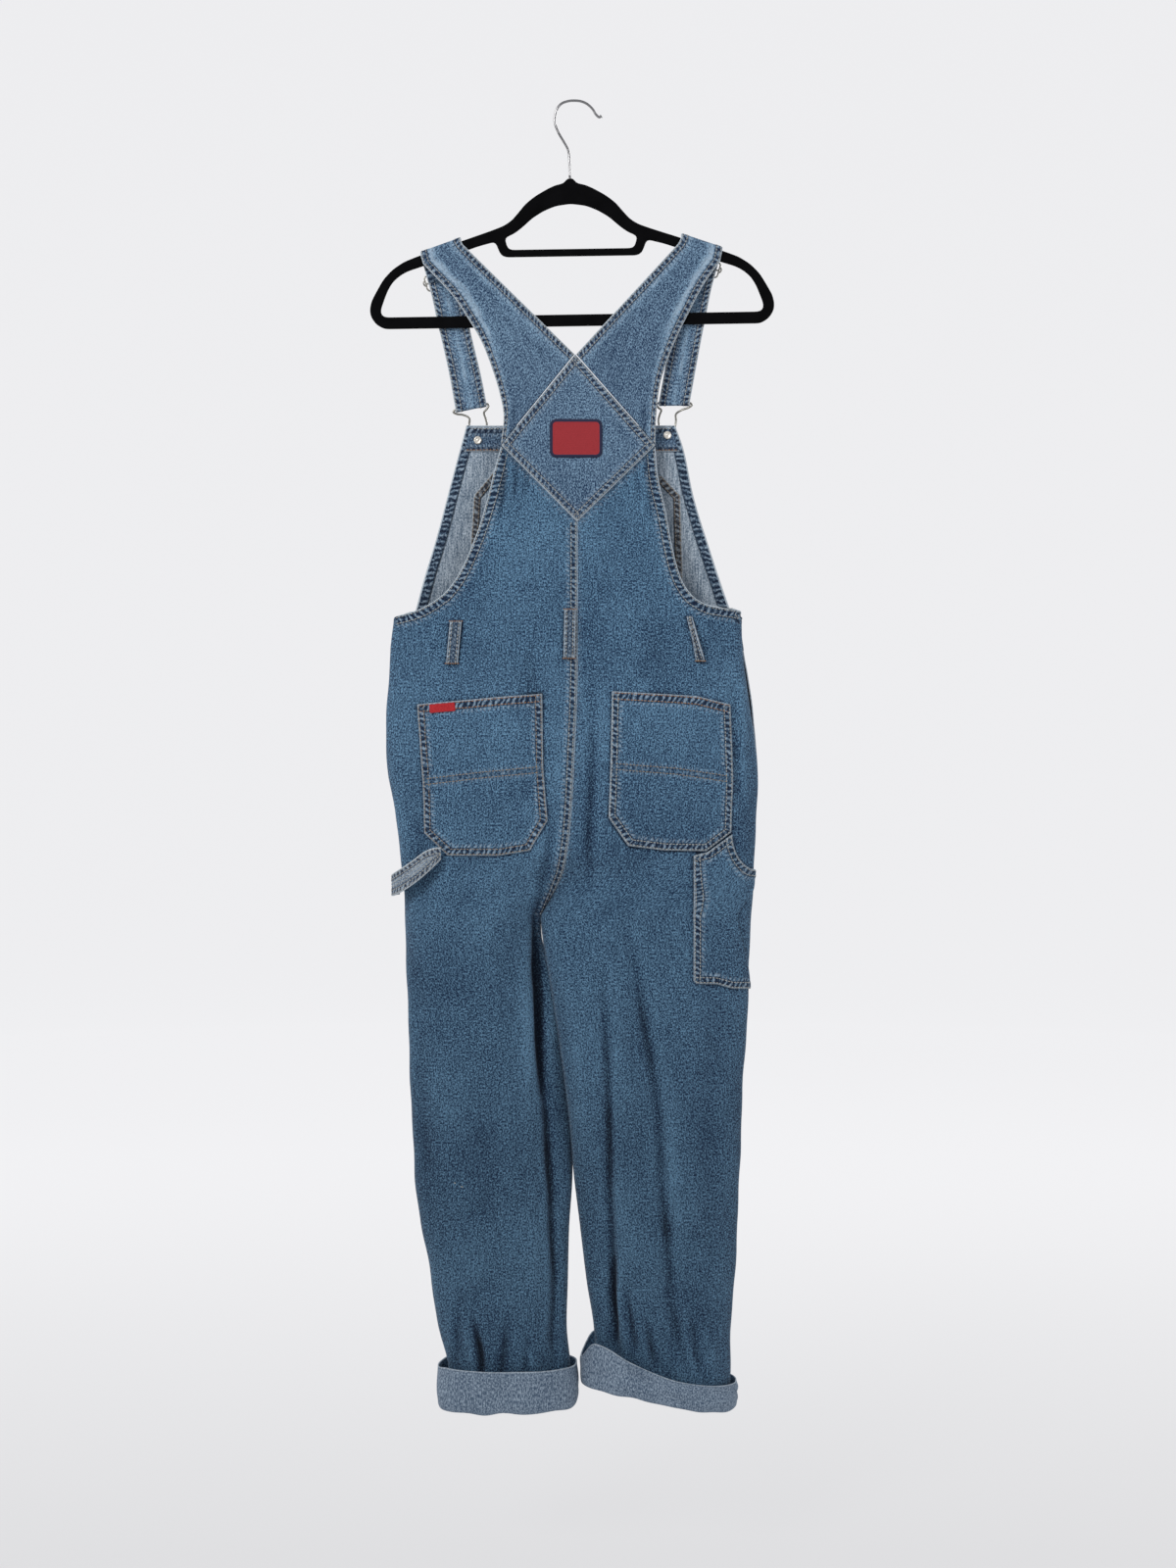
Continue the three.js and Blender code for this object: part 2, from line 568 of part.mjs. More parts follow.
// ---- cuffs ----------------------------------------------------------------------------------
// A rolled cuff is a band round the leg's end. top and low give its edges' heights by place.
function cuff(name, ends, near, far, top, low) {
  const around = 26;
  const heights = 2;
  const ring = (i, out) => {
    const a = (2 * Math.PI * i) / around;
    const reach = Math.sign(Math.cos(a)) * Math.abs(Math.cos(a)) ** (2 / 2.5);
    const away = Math.sign(Math.sin(a)) * Math.abs(Math.sin(a)) ** (2 / 2.5);
    const x = mix(ends[0], ends[1], 0.5 + 0.5 * reach) + out * Math.cos(a);
    return [x, (away > 0 ? far : near) * Math.abs(away) + out * Math.sin(a), away];
  };
  const positions = [];
  for (const out of [0, 2.6]) {
    for (let k = 0; k <= heights; k += 1) {
      for (let i = 0; i < around; i += 1) {
        const flare = 1.2 * Math.sin((Math.PI * k) / heights);
        const [x, y, away] = ring(i, out + flare);
        positions.push(x, y, mix(top(x, away), low(x, away), k / heights));
      }
    }
  }
  const layer = (heights + 1) * around;
  const at = (k, i, w) => w * layer + k * around + (i % around);
  const faces = [];
  const quad = (a, b, c, d) => faces.push(a, b, c, a, c, d);
  for (let i = 0; i < around; i += 1) {
    for (let k = 0; k < heights; k += 1) {
      quad(at(k, i, 1), at(k + 1, i, 1), at(k + 1, i + 1, 1), at(k, i + 1, 1));
      quad(at(k, i, 0), at(k, i + 1, 0), at(k + 1, i + 1, 0), at(k + 1, i, 0));
    }
    quad(at(0, i, 0), at(0, i, 1), at(0, i + 1, 1), at(0, i + 1, 0));
    quad(at(heights, i, 0), at(heights, i + 1, 0), at(heights, i + 1, 1), at(heights, i, 1));
  }
  add(name, solidGeometry(positions, faces), 'denim_wrong');
}
cuff('cuff_left', [-150.5, 0], -41.5, 40, () => -1403, (x) => -1450.5 + 0.012 * (x + 150));
const rightTop = profile([[181, -1423], [160, -1421.5], [113, -1414], [60, -1392], [23, -1376],
  [5, -1402]]);
cuff('cuff_right', [8.6, 177.2], -41.5, 40, rightTop,
  (x) => mix(-1426, -1452, smooth(5, 175, x)));

// ---- hanger: body in its own plane, X across and Z up from the top of its neck ----------------
const hanger = new THREE.Group();
hanger.position.copy(HANGER_TOP);
hanger.rotation.y = -HANGER_TILT;
overalls.add(hanger);

// Half outlines, from the middle outwards; each is mirrored for the other half.
const HANGER_TOP_EDGE = [[3.6, 0], [5, -1.6], [6.2, -5.8], [16, -7.4], [26.5, -12.2],
  [39.7, -19.8], [50.3, -28.1], [58.3, -37.7], [65.8, -46.3], [74.5, -52], [89, -57.4],
  [120.3, -67.8], [172, -84.9], [186.7, -90.6], [199.4, -98.9], [209.6, -109.5],
  [216.5, -121.1], [223.4, -133.5], [225.6, -143.5], [224.5, -151.1], [218.8, -159.6],
  [209.6, -165]];
const HANGER_SPACE = [[73.7, -87], [78.6, -84.5], [80.5, -80], [84.5, -69.4], [104, -74.5],
  [167.6, -96.2], [182.8, -101], [191.2, -105.6], [199.6, -112.9], [205.6, -123],
  [213.3, -143.5], [212.8, -149.5], [208.6, -152]];
const TIE_SPACE = [[0, -28.5], [17, -30.8], [30.5, -36.3], [43, -44], [53.6, -53.6],
  [62.8, -60.5], [74, -65.5], [70.6, -77.6], [68.5, -79]];

function mirrored(half) {
  const other = half.filter(([x]) => x > 0).map(([x, z]) => [-x, z]).reverse();
  return [...half, ...other].map(([x, z]) => new THREE.Vector2(x, z));
}

function hangerBody() {
  const shape = new THREE.Shape(mirrored(HANGER_TOP_EDGE));
  shape.holes.push(new THREE.Path(mirrored(HANGER_SPACE).reverse()));
  shape.holes.push(new THREE.Path(mirrored(TIE_SPACE).reverse()));
  const body = new THREE.ExtrudeGeometry(shape, { depth: HANGER_THICK, bevelEnabled: false });
  body.rotateX(Math.PI / 2);
  body.translate(0, HANGER_THICK / 2, 0);
  return body;
}
add('hanger_body', hangerBody(), 'velvet', hanger);

const HOOK_LINE = [[-6, -84.6], [-6.4, -67], [-7.8, -54.3], [-11.9, -46], [-18.7, -34.4],
  [-22.5, -24.4], [-22.6, -16], [-20.1, -7.4], [-15.1, -1.8], [-7.6, 0.9], [0, 1.4], [6.5, 0.6],
  [13, -2.2], [19.3, -8], [22.9, -13.9], [26.6, -17]];
const HOOK_BALL = [29.6, -15.6];
function hangerHook() {
  const wire = tubeAlong(HOOK_LINE.map(([x, z]) => [x, 0, z]), HOOK_WIRE, 8, 32);
  const ball = new THREE.SphereGeometry(2.3, 10, 8);
  const neck = tubeAlong([[26.2, 0, -16.9], [28, 0, -16.4], [29.6, 0, -15.6]], 2.2, 8, 3);
  ball.translate(HOOK_BALL[0], 0, HOOK_BALL[1]);
  return fromManifold(toManifold(wire).add(toManifold(neck)).add(toManifold(ball)));
}
add('hanger_hook', hangerHook(), 'chrome');

// ---- straps, slides, buckles, buttons ---------------------------------------------------------
// Each strap runs from the yoke's edge over the hanger's arm, down through its slide, round the
// buckle's bar and back up to the slide.
const STRAP = {
  left: {
    outer: [[-82.3, -383.2], [-79.5, -351], [-83.5, -328], [-91.5, -301], [-104.5, -267.5],
      [-120.7, -240], [-135.4, -218], [-156, -195.5], [-171.5, -179]],
    inner: [[-1, -282], [-126.5, -158.6]],
    over: [[-172, -170.8], [-127.6, -154.6]],
    front: [[-171, -176], [-161, -212], [-154, -244], [-141.5, -299], [-133.8, -341.6]],
    slide: -201, bar: [-116.6, -338.3], barTurn: 0.19, button: [-109, -375.8],
  },
  right: {
    outer: [[89.1, -383.2], [88.9, -374], [91.3, -336.5], [95, -313], [104, -285],
      [115, -258.5], [128, -232.5], [142.5, -205], [163, -176]],
    inner: [[1.2, -282], [116.5, -157]],
    over: [[163.6, -165.4], [118.2, -150.3]],
    front: [[162.4, -169], [152.2, -206], [146.3, -235], [139.2, -271.6], [127.8, -334]],
    slide: -186, bar: [110.6, -334], barTurn: 0, button: [103, -370.2],
  },
};
const OVER_RADIUS = HANGER_THICK / 2 + GAP + STRAP_THICK / 2 + 0.3;
const LOOP_RADIUS = WIRE / 2 + GAP + STRAP_THICK / 2;
const BAR_Y = 7.6;

// Above the yoke the straps flatten towards the hanger.
const strapBackY = (x, z) => STRAP_THICK / 2 +
  mix(bodyY('back', x, z), -DEPTH.back(z), smooth(-384, -320, z));

function along(points, s) {
  const curve = new THREE.CatmullRomCurve3(
    points.map(([x, z]) => new THREE.Vector3(x, 0, z)), false, 'centripetal');
  const p = curve.getPoint(s);
  return [p.x, p.z];
}

// How far each layer of the hanging part stands from the slide's plane, by height above it. The
// outer layer weaves over the slide's middle bar; the inner one comes up and ends on that bar.
const SLIDE_PITCH = 8;
const WEAVE = 2.3;
const outerWeave = profile([[2 * SLIDE_PITCH, 0], [SLIDE_PITCH, -WEAVE], [0, WEAVE],
  [-SLIDE_PITCH, -WEAVE], [-2 * SLIDE_PITCH, 0]]);
const innerWeave = profile([[0, -WEAVE], [-SLIDE_PITCH, -WEAVE - STRAP_THICK - GAP],
  [-2.2 * SLIDE_PITCH, -STRAP_THICK - 2 * GAP]]);
const SLIDE_Y = 6.8;

function strapPairs(side) {
  const strap = STRAP[side];
  const pairs = [];
  const backSteps = 12;
  for (let i = 0; i < backSteps; i += 1) {
    const s = i / backSteps;
    const edges = [along(strap.outer, s), along(strap.inner, s)];
    pairs.push(edges.map(([x, z]) => [x, strapBackY(x, z), z]));
  }
  for (let i = 0; i <= 6; i += 1) {
    const a = (Math.PI * i) / 6;
    const [y, up] = [-OVER_RADIUS * Math.cos(a), OVER_RADIUS * Math.sin(a) - 1];
    pairs.push(strap.over.map(([x, z]) => [x, y, z + up]));
  }
  const [top, end] = [strap.front[0][1], strap.front[strap.front.length - 1][1]];
  const edgeAt = profile(strap.front.map(([x, z]) => [z, x]));
  // A pair of edge points at a height of the outer edge; the lower end lies along the buckle's bar.
  const hanging = (z, y, drop = 0) => {
    const width = mix(STRAP_WIDTH, STRAP_WIDTH + 3, smooth(-240, top, z));
    const turn = Math.tan(strap.barTurn) * smooth(mix(top, end, 0.55), end, z);
    return [[edgeAt(z), y, z - drop], [edgeAt(z) - SIDE[side] * width, y,
      z - drop - SIDE[side] * turn * width]];
  };
  const outerY = (z) => mix(SLIDE_Y, BAR_Y + LOOP_RADIUS, smooth(-230, end + 6, z)) +
    outerWeave(z - strap.slide);
  const innerY = (z) => mix(SLIDE_Y, BAR_Y - LOOP_RADIUS + STRAP_THICK + 2 * GAP,
    smooth(-230, end + 6, z)) + innerWeave(z - strap.slide);
  const near = [2, 1.5, 1, 0.5, 0, -0.5, -1, -1.5, -2.2].map((k) => strap.slide + k * SLIDE_PITCH);
  const below = Array.from({ length: 6 }, (_, i) => mix(near[8], end, (i + 1) / 6));
  const heights = [...near.filter((z) => z < top), ...below];
  heights.forEach((z) => pairs.push(hanging(z, outerY(z))));
  for (let i = 1; i < 6; i += 1) {
    const a = (Math.PI * i) / 6;
    pairs.push(hanging(end, BAR_Y + LOOP_RADIUS * Math.cos(a), LOOP_RADIUS * Math.sin(a)));
  }
  const rising = heights.filter((z) => z < strap.slide + 1).reverse();
  rising.forEach((z) => pairs.push(hanging(z, innerY(z))));
  return pairs;
}

// A wire frame with a middle bar, leaning with the strap's edge.
function slideFrame(side) {
  const strap = STRAP[side];
  const edgeAt = profile(strap.front.map(([x, z]) => [z, x]));
  const middle = edgeAt(strap.slide) - SIDE[side] * (STRAP_WIDTH + 1.5) / 2;
  const half = STRAP_WIDTH / 2 + 3.8;
  const lean = (edgeAt(strap.slide + 10) - edgeAt(strap.slide - 10)) / 20;
  const wire = WIRE * 0.8;
  const at = (x, up) => [middle + x + lean * up, SLIDE_Y, strap.slide + up];
  const rods = [-SLIDE_PITCH, 0, SLIDE_PITCH].map((up) => [at(-half, up), at(half, up)]);
  const reach = SLIDE_PITCH + wire / 2;
  [-half, half].forEach((x) => rods.push([at(x, reach), at(x, -reach)]));
  return fromManifold(rods
    .map((ends) => toManifold(tubeAlong(ends, wire, 6, 1)))
    .reduce((frame, rod) => frame.add(rod)));
}

// The buckle's wire: a bar for the strap, shoulders, and a keyhole that slips over the button.
const BUCKLE_HALF = [[0, 0], [STRAP_WIDTH / 2, 0], [STRAP_WIDTH / 2 + 2.4, -2.2],
  [STRAP_WIDTH / 2 - 0.6, -5.4], [11.6, -7.6], [9, -12], [9.8, -18], [8.6, -26], [5.8, -32],
  [4.6, -36], [3.6, -39.4], [0, -41.4]];
const BUCKLE_FORWARD = 5.8; // the keyhole stands in front of the bib
function buckle(side) {
  const { bar, barTurn, button } = STRAP[side];
  const other = BUCKLE_HALF.slice(1, -1).map(([x, z]) => [-x, z]).reverse();
  const points = [...BUCKLE_HALF, ...other].map(([x, z]) => {
    const bend = smooth(-3, -14, z);
    return [
      bar[0] + x + (button[0] - bar[0]) * bend,
      BAR_Y + BUCKLE_FORWARD * smooth(-4, -16, z),
      bar[1] + z + x * Math.tan(barTurn) * (1 - bend),
    ];
  });
  return tubeAlong(points, WIRE, 6, 44, true);
}

// Tack buttons: a domed head on a shank, turned about Y.
const SHANK = 2;
function tackButton(radius, shank) {
  const outline = [[0, 0], [SHANK, 0], [SHANK, shank], [radius - 1, shank], [radius, shank + 1],
    [radius - 1, shank + 2.4], [radius * 0.6, shank + 3.2], [0, shank + 3.2]];
  return new THREE.LatheGeometry(outline.map(([x, y]) => new THREE.Vector2(x, y)), 14);
}

for (const side of ['left', 'right']) {
  const [x, z] = STRAP[side].button;
  const front = bodyY('front', x, z);
  add(`strap_${side}`, ribbon(strapPairs(side), STRAP_THICK), 'denim');
  add(`slide_${side}`, slideFrame(side), 'nickel');
  add(`buckle_${side}`, buckle(side), 'nickel');
  const button = add(`bib_button_${side}`, tackButton(8.5, 4.8), 'nickel');
  button.position.set(x, front + GAP, z);
  const rivet = add(`bib_rivet_${side}`, new THREE.CylinderGeometry(3.4, 4.4, 1.6, 14), 'nickel');
  rivet.position.set(x, front - CLOTH - LIFT - 1 - GAP - 0.8, z);
  rivet.rotation.x = Math.PI;
}

// Buttons that close the side openings, on the waistband and below it.
for (const side of ['left', 'right']) {
  ['upper', 'lower'].forEach((place, k) => {
    const z = WAIST - 20 - 58 * k;
    const line = foldedLine('front', side, z);
    const [before, at, after] = line.slice(15, 18);
    const normal = new THREE.Vector3(after[1] - before[1], before[0] - after[0], 0).normalize();
    if (normal.y < 0) normal.negate();
    const button = add(`side_button_${side}_${place}`, tackButton(8, 1.6), 'nickel');
    button.quaternion.setFromUnitVectors(new THREE.Vector3(0, 1, 0), normal);
    button.position.set(at[0], at[1], z).addScaledVector(normal, 1.8);
  });
}

export default overalls;
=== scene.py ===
"""Denim bib overalls hung by their straps on a velvet hanger: the looks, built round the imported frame.

The garment is drawn in millimetres in the part's own frame: +Z up, -Y behind the wearer, +X to the
wearer's right, with the origin inside the top bend of the hanger's hook.
"""
import math

import bmesh
import bpy
import numpy as np
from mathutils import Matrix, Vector
from mathutils.geometry import delaunay_2d_cdt


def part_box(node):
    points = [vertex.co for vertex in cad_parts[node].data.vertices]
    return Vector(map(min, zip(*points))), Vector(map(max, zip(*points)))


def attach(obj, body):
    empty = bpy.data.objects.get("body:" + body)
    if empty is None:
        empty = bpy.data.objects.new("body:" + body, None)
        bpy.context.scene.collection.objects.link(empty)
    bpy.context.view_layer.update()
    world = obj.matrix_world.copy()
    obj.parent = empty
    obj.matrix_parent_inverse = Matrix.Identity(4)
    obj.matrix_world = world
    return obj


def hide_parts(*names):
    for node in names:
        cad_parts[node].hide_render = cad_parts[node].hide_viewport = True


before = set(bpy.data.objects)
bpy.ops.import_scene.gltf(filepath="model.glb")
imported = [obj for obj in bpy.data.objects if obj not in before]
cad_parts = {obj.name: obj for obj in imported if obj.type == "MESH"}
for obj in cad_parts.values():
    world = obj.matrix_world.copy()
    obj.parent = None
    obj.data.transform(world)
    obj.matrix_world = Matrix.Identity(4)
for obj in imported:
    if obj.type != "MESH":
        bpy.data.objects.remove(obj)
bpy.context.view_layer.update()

MM = 0.001
CLOTH = 1.5
STRAP_THICK = 1.6
STRAP_WIDTH = 34.5
WIRE = 2.4
LIFT = 0.4
WAIST = -574.0
WAISTBAND = 38.0
CROTCH = -907.0
SPREAD = (-828.0, -905.0)
LEG_END = -1445.0
BODY_ROUND = 2.6
LEG_ROUND = 2.25
OUTWARD = {"back": -1, "front": 1}
SIDE = {"left": -1, "right": 1}
YOKE = {"top": (0, -282.5), "left": (-82, -384.2), "bottom": (2, -469.5), "right": (88.8, -384.2)}


# ---- numbers -------------------------------------------------------------------------------------
def smooth(start, end, value):
    """0 at start and 1 at end, with a soft step between; start may be the larger."""
    s = np.clip((np.asarray(value, float) - start) / (end - start), 0, 1)
    return s * s * (3 - 2 * s)


def mix(a, b, s):
    """a where s is 0 and b where s is 1."""
    return a + (b - a) * s


def bell(value, width):
    """1 at zero, falling to about a third at width on both sides."""
    return np.exp(-(np.asarray(value, float) / width) ** 2)


def profile(pairs):
    """A smooth curve through (height, value) pairs, which run downwards; flat past both ends."""
    z = np.array([p[0] for p in pairs], float)[::-1]
    v = np.array([p[1] for p in pairs], float)[::-1]
    chord = np.diff(v) / np.diff(z)
    slope = np.empty_like(v)
    slope[0], slope[-1] = chord[0], chord[-1]
    product = chord[:-1] * chord[1:]
    total = chord[:-1] + chord[1:]
    slope[1:-1] = np.where(product > 0, 2 * product / np.where(product > 0, total, 1), 0)

    def at(height):
        q = np.clip(np.asarray(height, float), z[0], z[-1])
        i = np.clip(np.searchsorted(z, q, side="right") - 1, 0, len(z) - 2)
        span = z[i + 1] - z[i]
        s = (q - z[i]) / span
        s2, s3 = s * s, s * s * s
        return ((2 * s3 - 3 * s2 + 1) * v[i] + (s3 - 2 * s2 + s) * span * slope[i]
                + (3 * s2 - 2 * s3) * v[i + 1] + (s3 - s2) * span * slope[i + 1])

    return at


def spline(points, count, closed=False):
    """count points along a centripetal Catmull-Rom curve."""
    p = np.array(points, float)
    if closed:
        p = np.vstack([p[-1], p, p[0], p[1]])
    else:
        p = np.vstack([2 * p[0] - p[1], p, 2 * p[-1] - p[-2]])
    spans = len(p) - 3
    t = np.linspace(0, spans, count, endpoint=not closed)
    i = np.minimum(t.astype(int), spans - 1)
    s = (t - i)[:, None]
    a, b, c, d = p[i], p[i + 1], p[i + 2], p[i + 3]
    step = lambda u, v: np.maximum(((v - u) ** 2).sum(1), 1e-9)[:, None] ** 0.25
    d0, d1, d2 = step(a, b), step(b, c), step(c, d)
    m1 = ((b - a) / d0 - (c - a) / (d0 + d1) + (c - b) / d1) * d1
    m2 = ((c - b) / d1 - (d - b) / (d1 + d2) + (d - c) / d2) * d1
    s2, s3 = s * s, s * s * s
    return (2 * s3 - 3 * s2 + 1) * b + (s3 - 2 * s2 + s) * m1 + (3 * s2 - 2 * s3) * c + (s3 - s2) * m2


def looped(points):
    """An outline with its first point again at its end."""
    return np.vstack([points, points[:1]])


def along(points):
    """How far along a polyline each of its points lies."""
    return np.concatenate([[0], np.cumsum(np.linalg.norm(np.diff(points, axis=0), axis=1))])


def unit(vectors):
    """The vectors at length one."""
    return vectors / np.maximum(np.linalg.norm(vectors, axis=-1), 1e-9)[..., None]


def resample(points, step, closed=False):
    """A polyline in equal steps of about that length."""
    p = np.array(points, float)
    if closed:
        p = looped(p)
    reach = along(p)
    count = max(2, int(round(reach[-1] / step)) + 1)
    at = np.linspace(0, reach[-1], count)
    out = np.stack([np.interp(at, reach, p[:, k]) for k in range(p.shape[1])], 1)
    return out[:-1] if closed else out


def densify(points, step, closed=True):
    """An outline's corners kept, with points between them no further apart than step."""
    p = [np.array(q, float) for q in points]
    out = []
    for a, b in zip(p, p[1:] + (p[:1] if closed else [])):
        n = max(1, int(math.ceil(np.linalg.norm(b - a) / step)))
        out += [a + (b - a) * k / n for k in range(n)]
    return np.array(out if closed else out + p[-1:])


def inside(outline, points):
    """Which points lie inside a closed outline."""
    x, z = points[:, 0], points[:, 1]
    found = np.zeros(len(points), bool)
    for (ax, az), (bx, bz) in zip(outline, np.roll(outline, -1, axis=0)):
        if az == bz:
            continue
        crosses = (az > z) != (bz > z)
        found ^= crosses & (x < (bx - ax) * (z - az) / (bz - az) + ax)
    return found


def nearest(points, line, signed=False):
    """Distance from each point to a polyline, and how far along it the nearest place is."""
    best = np.full(len(points), 1e9)
    run = np.zeros(len(points))
    hand = np.ones(len(points))
    start = 0.0
    for a, b in zip(line[:-1], line[1:]):
        step = b - a
        length = float(np.hypot(*step))
        if length < 1e-9:
            continue
        s = np.clip(((points - a) @ step) / length ** 2, 0, 1)
        away = np.hypot(*(points - a - s[:, None] * step).T)
        closer = away < best
        best = np.where(closer, away, best)
        run = np.where(closer, start + s * length, run)
        if signed:
            turn = step[0] * (points[:, 1] - a[1]) - step[1] * (points[:, 0] - a[0])
            hand = np.where(closer, np.sign(turn), hand)
        start += length
    return best * hand, run


def offset(line, distance, outline):
    """A polyline moved sideways into the outline."""
    line = np.array(line, float)
    step = unit(np.gradient(line, axis=0))
    side = np.stack([-step[:, 1], step[:, 0]], 1)
    middle = len(line) // 2
    if not inside(outline, (line[middle] + side[middle] * 1.5)[None])[0]:
        side = -side
    return line + side * distance


WAVES = np.random.default_rng(11)


def ripples(shortest, longest, count):
    """A smooth random height field of about unit size, from waves between two lengths in mm."""
    length = WAVES.uniform(shortest, longest, count)
    angle = WAVES.uniform(0, math.pi, count)
    phase = WAVES.uniform(0, 2 * math.pi, count)
    across, down = 2 * math.pi / length * np.cos(angle), 2 * math.pi / length * np.sin(angle)

    def at(u, v):
        total = np.zeros(np.broadcast(u, v).shape)
        for k in range(count):
            total += np.sin(across[k] * u + down[k] * v + phase[k])
        return total / math.sqrt(count)

    return at


BROAD = ripples(55, 150, 14)
FINE = ripples(14, 34, 16)

# ---- the garment's form, as in the part's source ---------------------------------------------------
OUTER = {
    "left": profile([(-574, -201.5), (-606, -205.5), (-714, -210.5), (-748, -209), (-794, -199.5),
                     (-852, -193), (-902, -190), (-1033, -185.6), (-1191, -179), (-1248, -172),
                     (-1301, -162), (-1354, -154), (-1412, -142), (-1450, -149)]),
    "right": profile([(-568, 185), (-606, 186), (-640, 189), (-672, 194.5), (-712, 200), (-744, 203),
                      (-806, 201.5), (-856, 199), (-904, 196), (-1011, 192), (-1112, 186),
                      (-1222, 182), (-1301, 178), (-1380, 173), (-1450, 172)]),
}
FRONT_PROUD = profile([(-596, 0), (-640, 3), (-672, 3.4), (-700, 1.6), (-744, 0)])
ARMHOLE = {
    "left": profile([(-384, -82), (-410, -89), (-441, -96.5), (-474.5, -106.2), (-500.5, -116),
                     (-525.5, -127.5), (-547.5, -143), (-558.3, -157), (-568, -176.3), (-574, -200)]),
    "right": profile([(-387.5, 88.8), (-414.5, 91), (-458.7, 100.4), (-498.8, 107.7), (-529.6, 116),
                      (-550.5, 128.2), (-562.2, 147.2), (-567.6, 184)]),
}
BIB_SIDE = {
    "left": profile([(-359.5, -121.8), (-387.5, -129.5), (-430, -141), (-483, -155.2), (-528, -169),
                     (-574, -181.5)]),
    "right": profile([(-356, 110.5), (-388, 121.7), (-436, 131.8), (-499, 151.2), (-565, 173.3)]),
}
MIDDLE = {
    "back": profile([(-469, 2), (-624, 2), (-748, -2.3), (-805, -5.8), (-850, -12), (-876, -22),
                     (-893, -32), (-907, -39)]),
    "front": profile([(-574, 0), (-700, -1), (-800, -6), (-850, -13), (-876, -22), (-893, -32),
                      (-907, -39)]),
}
INNER = {
    "left": profile([(-907, -39), (-930, -37.5), (-950, -33), (-1000, -20), (-1038, -13), (-1096, -6),
                     (-1138, -2.5), (-1195, -3.2), (-1256, -7), (-1314, -8.4), (-1359, -9.7),
                     (-1412, -5), (-1450, -3.5)]),
    "right": profile([(-907, -39), (-930, -36.2), (-980, -27.8), (-1038, -19), (-1096, -11),
                      (-1138, -6), (-1191, -1.8), (-1248, 5), (-1314, 13), (-1367, 21), (-1412, 23),
                      (-1450, 24)]),
}
CROSSING = profile([(-907, 0), (-945, 9), (-975, 12.5), (-1110, 12.5), (-1170, 6.5), (-1215, 0)])
DEPTH = {
    "back": profile([(-150, 4.9), (-262, 5), (-330, 8), (-400, 11.5), (-470, 15), (-574, 25),
                     (-660, 34), (-740, 40), (-840, 41), (-905, 37), (-1000, 33), (-1200, 31),
                     (-1380, 33), (-1450, 37)]),
    "front": profile([(-340, 10.5), (-400, 12), (-480, 16), (-574, 26), (-660, 33), (-740, 37),
                      (-840, 37), (-905, 34), (-1000, 32), (-1200, 31), (-1380, 33), (-1450, 36)]),
}
# The largest folds, as in the part: a line down the cloth, its rise and its width.
FOLDS = {
    "back_left": [
        ([(-880, -46), (-940, -42), (-1038, -40), (-1150, -31), (-1250, -26), (-1400, -24)],
         [(-870, 0), (-930, -9), (-1100, -7), (-1400, -6)], 15),
        ([(-1000, -112), (-1200, -106), (-1410, -100)], [(-980, 0), (-1100, -3), (-1400, -4)], 26)],
    "back_right": [
        ([(-887, 60), (-953, 65), (-1006, 73.5), (-1099, 88.5), (-1178, 94), (-1300, 103),
          (-1410, 103)], [(-870, 0), (-960, -5), (-1200, -5), (-1400, -7)], 20),
        ([(-940, 29), (-1019, 33), (-1112, 36), (-1191, 37), (-1300, 41), (-1391, 41)],
         [(-920, 0), (-1010, -3), (-1200, -3), (-1320, -8), (-1400, -10)], 14)],
    "front_left": [([(-880, -70), (-1100, -72), (-1400, -70)],
                    [(-860, 0), (-960, -6), (-1400, -7)], 18)],
    "front_right": [([(-880, 70), (-1100, 84), (-1400, 92)],
                     [(-860, 0), (-960, -6), (-1400, -7)], 20)],
}
FOLDS = {name: [(profile(line), profile(rise), width) for line, rise, width in folds]
         for name, folds in FOLDS.items()}
DEEPEST = 0.6  # no fold is deeper than this share of the panel's depth

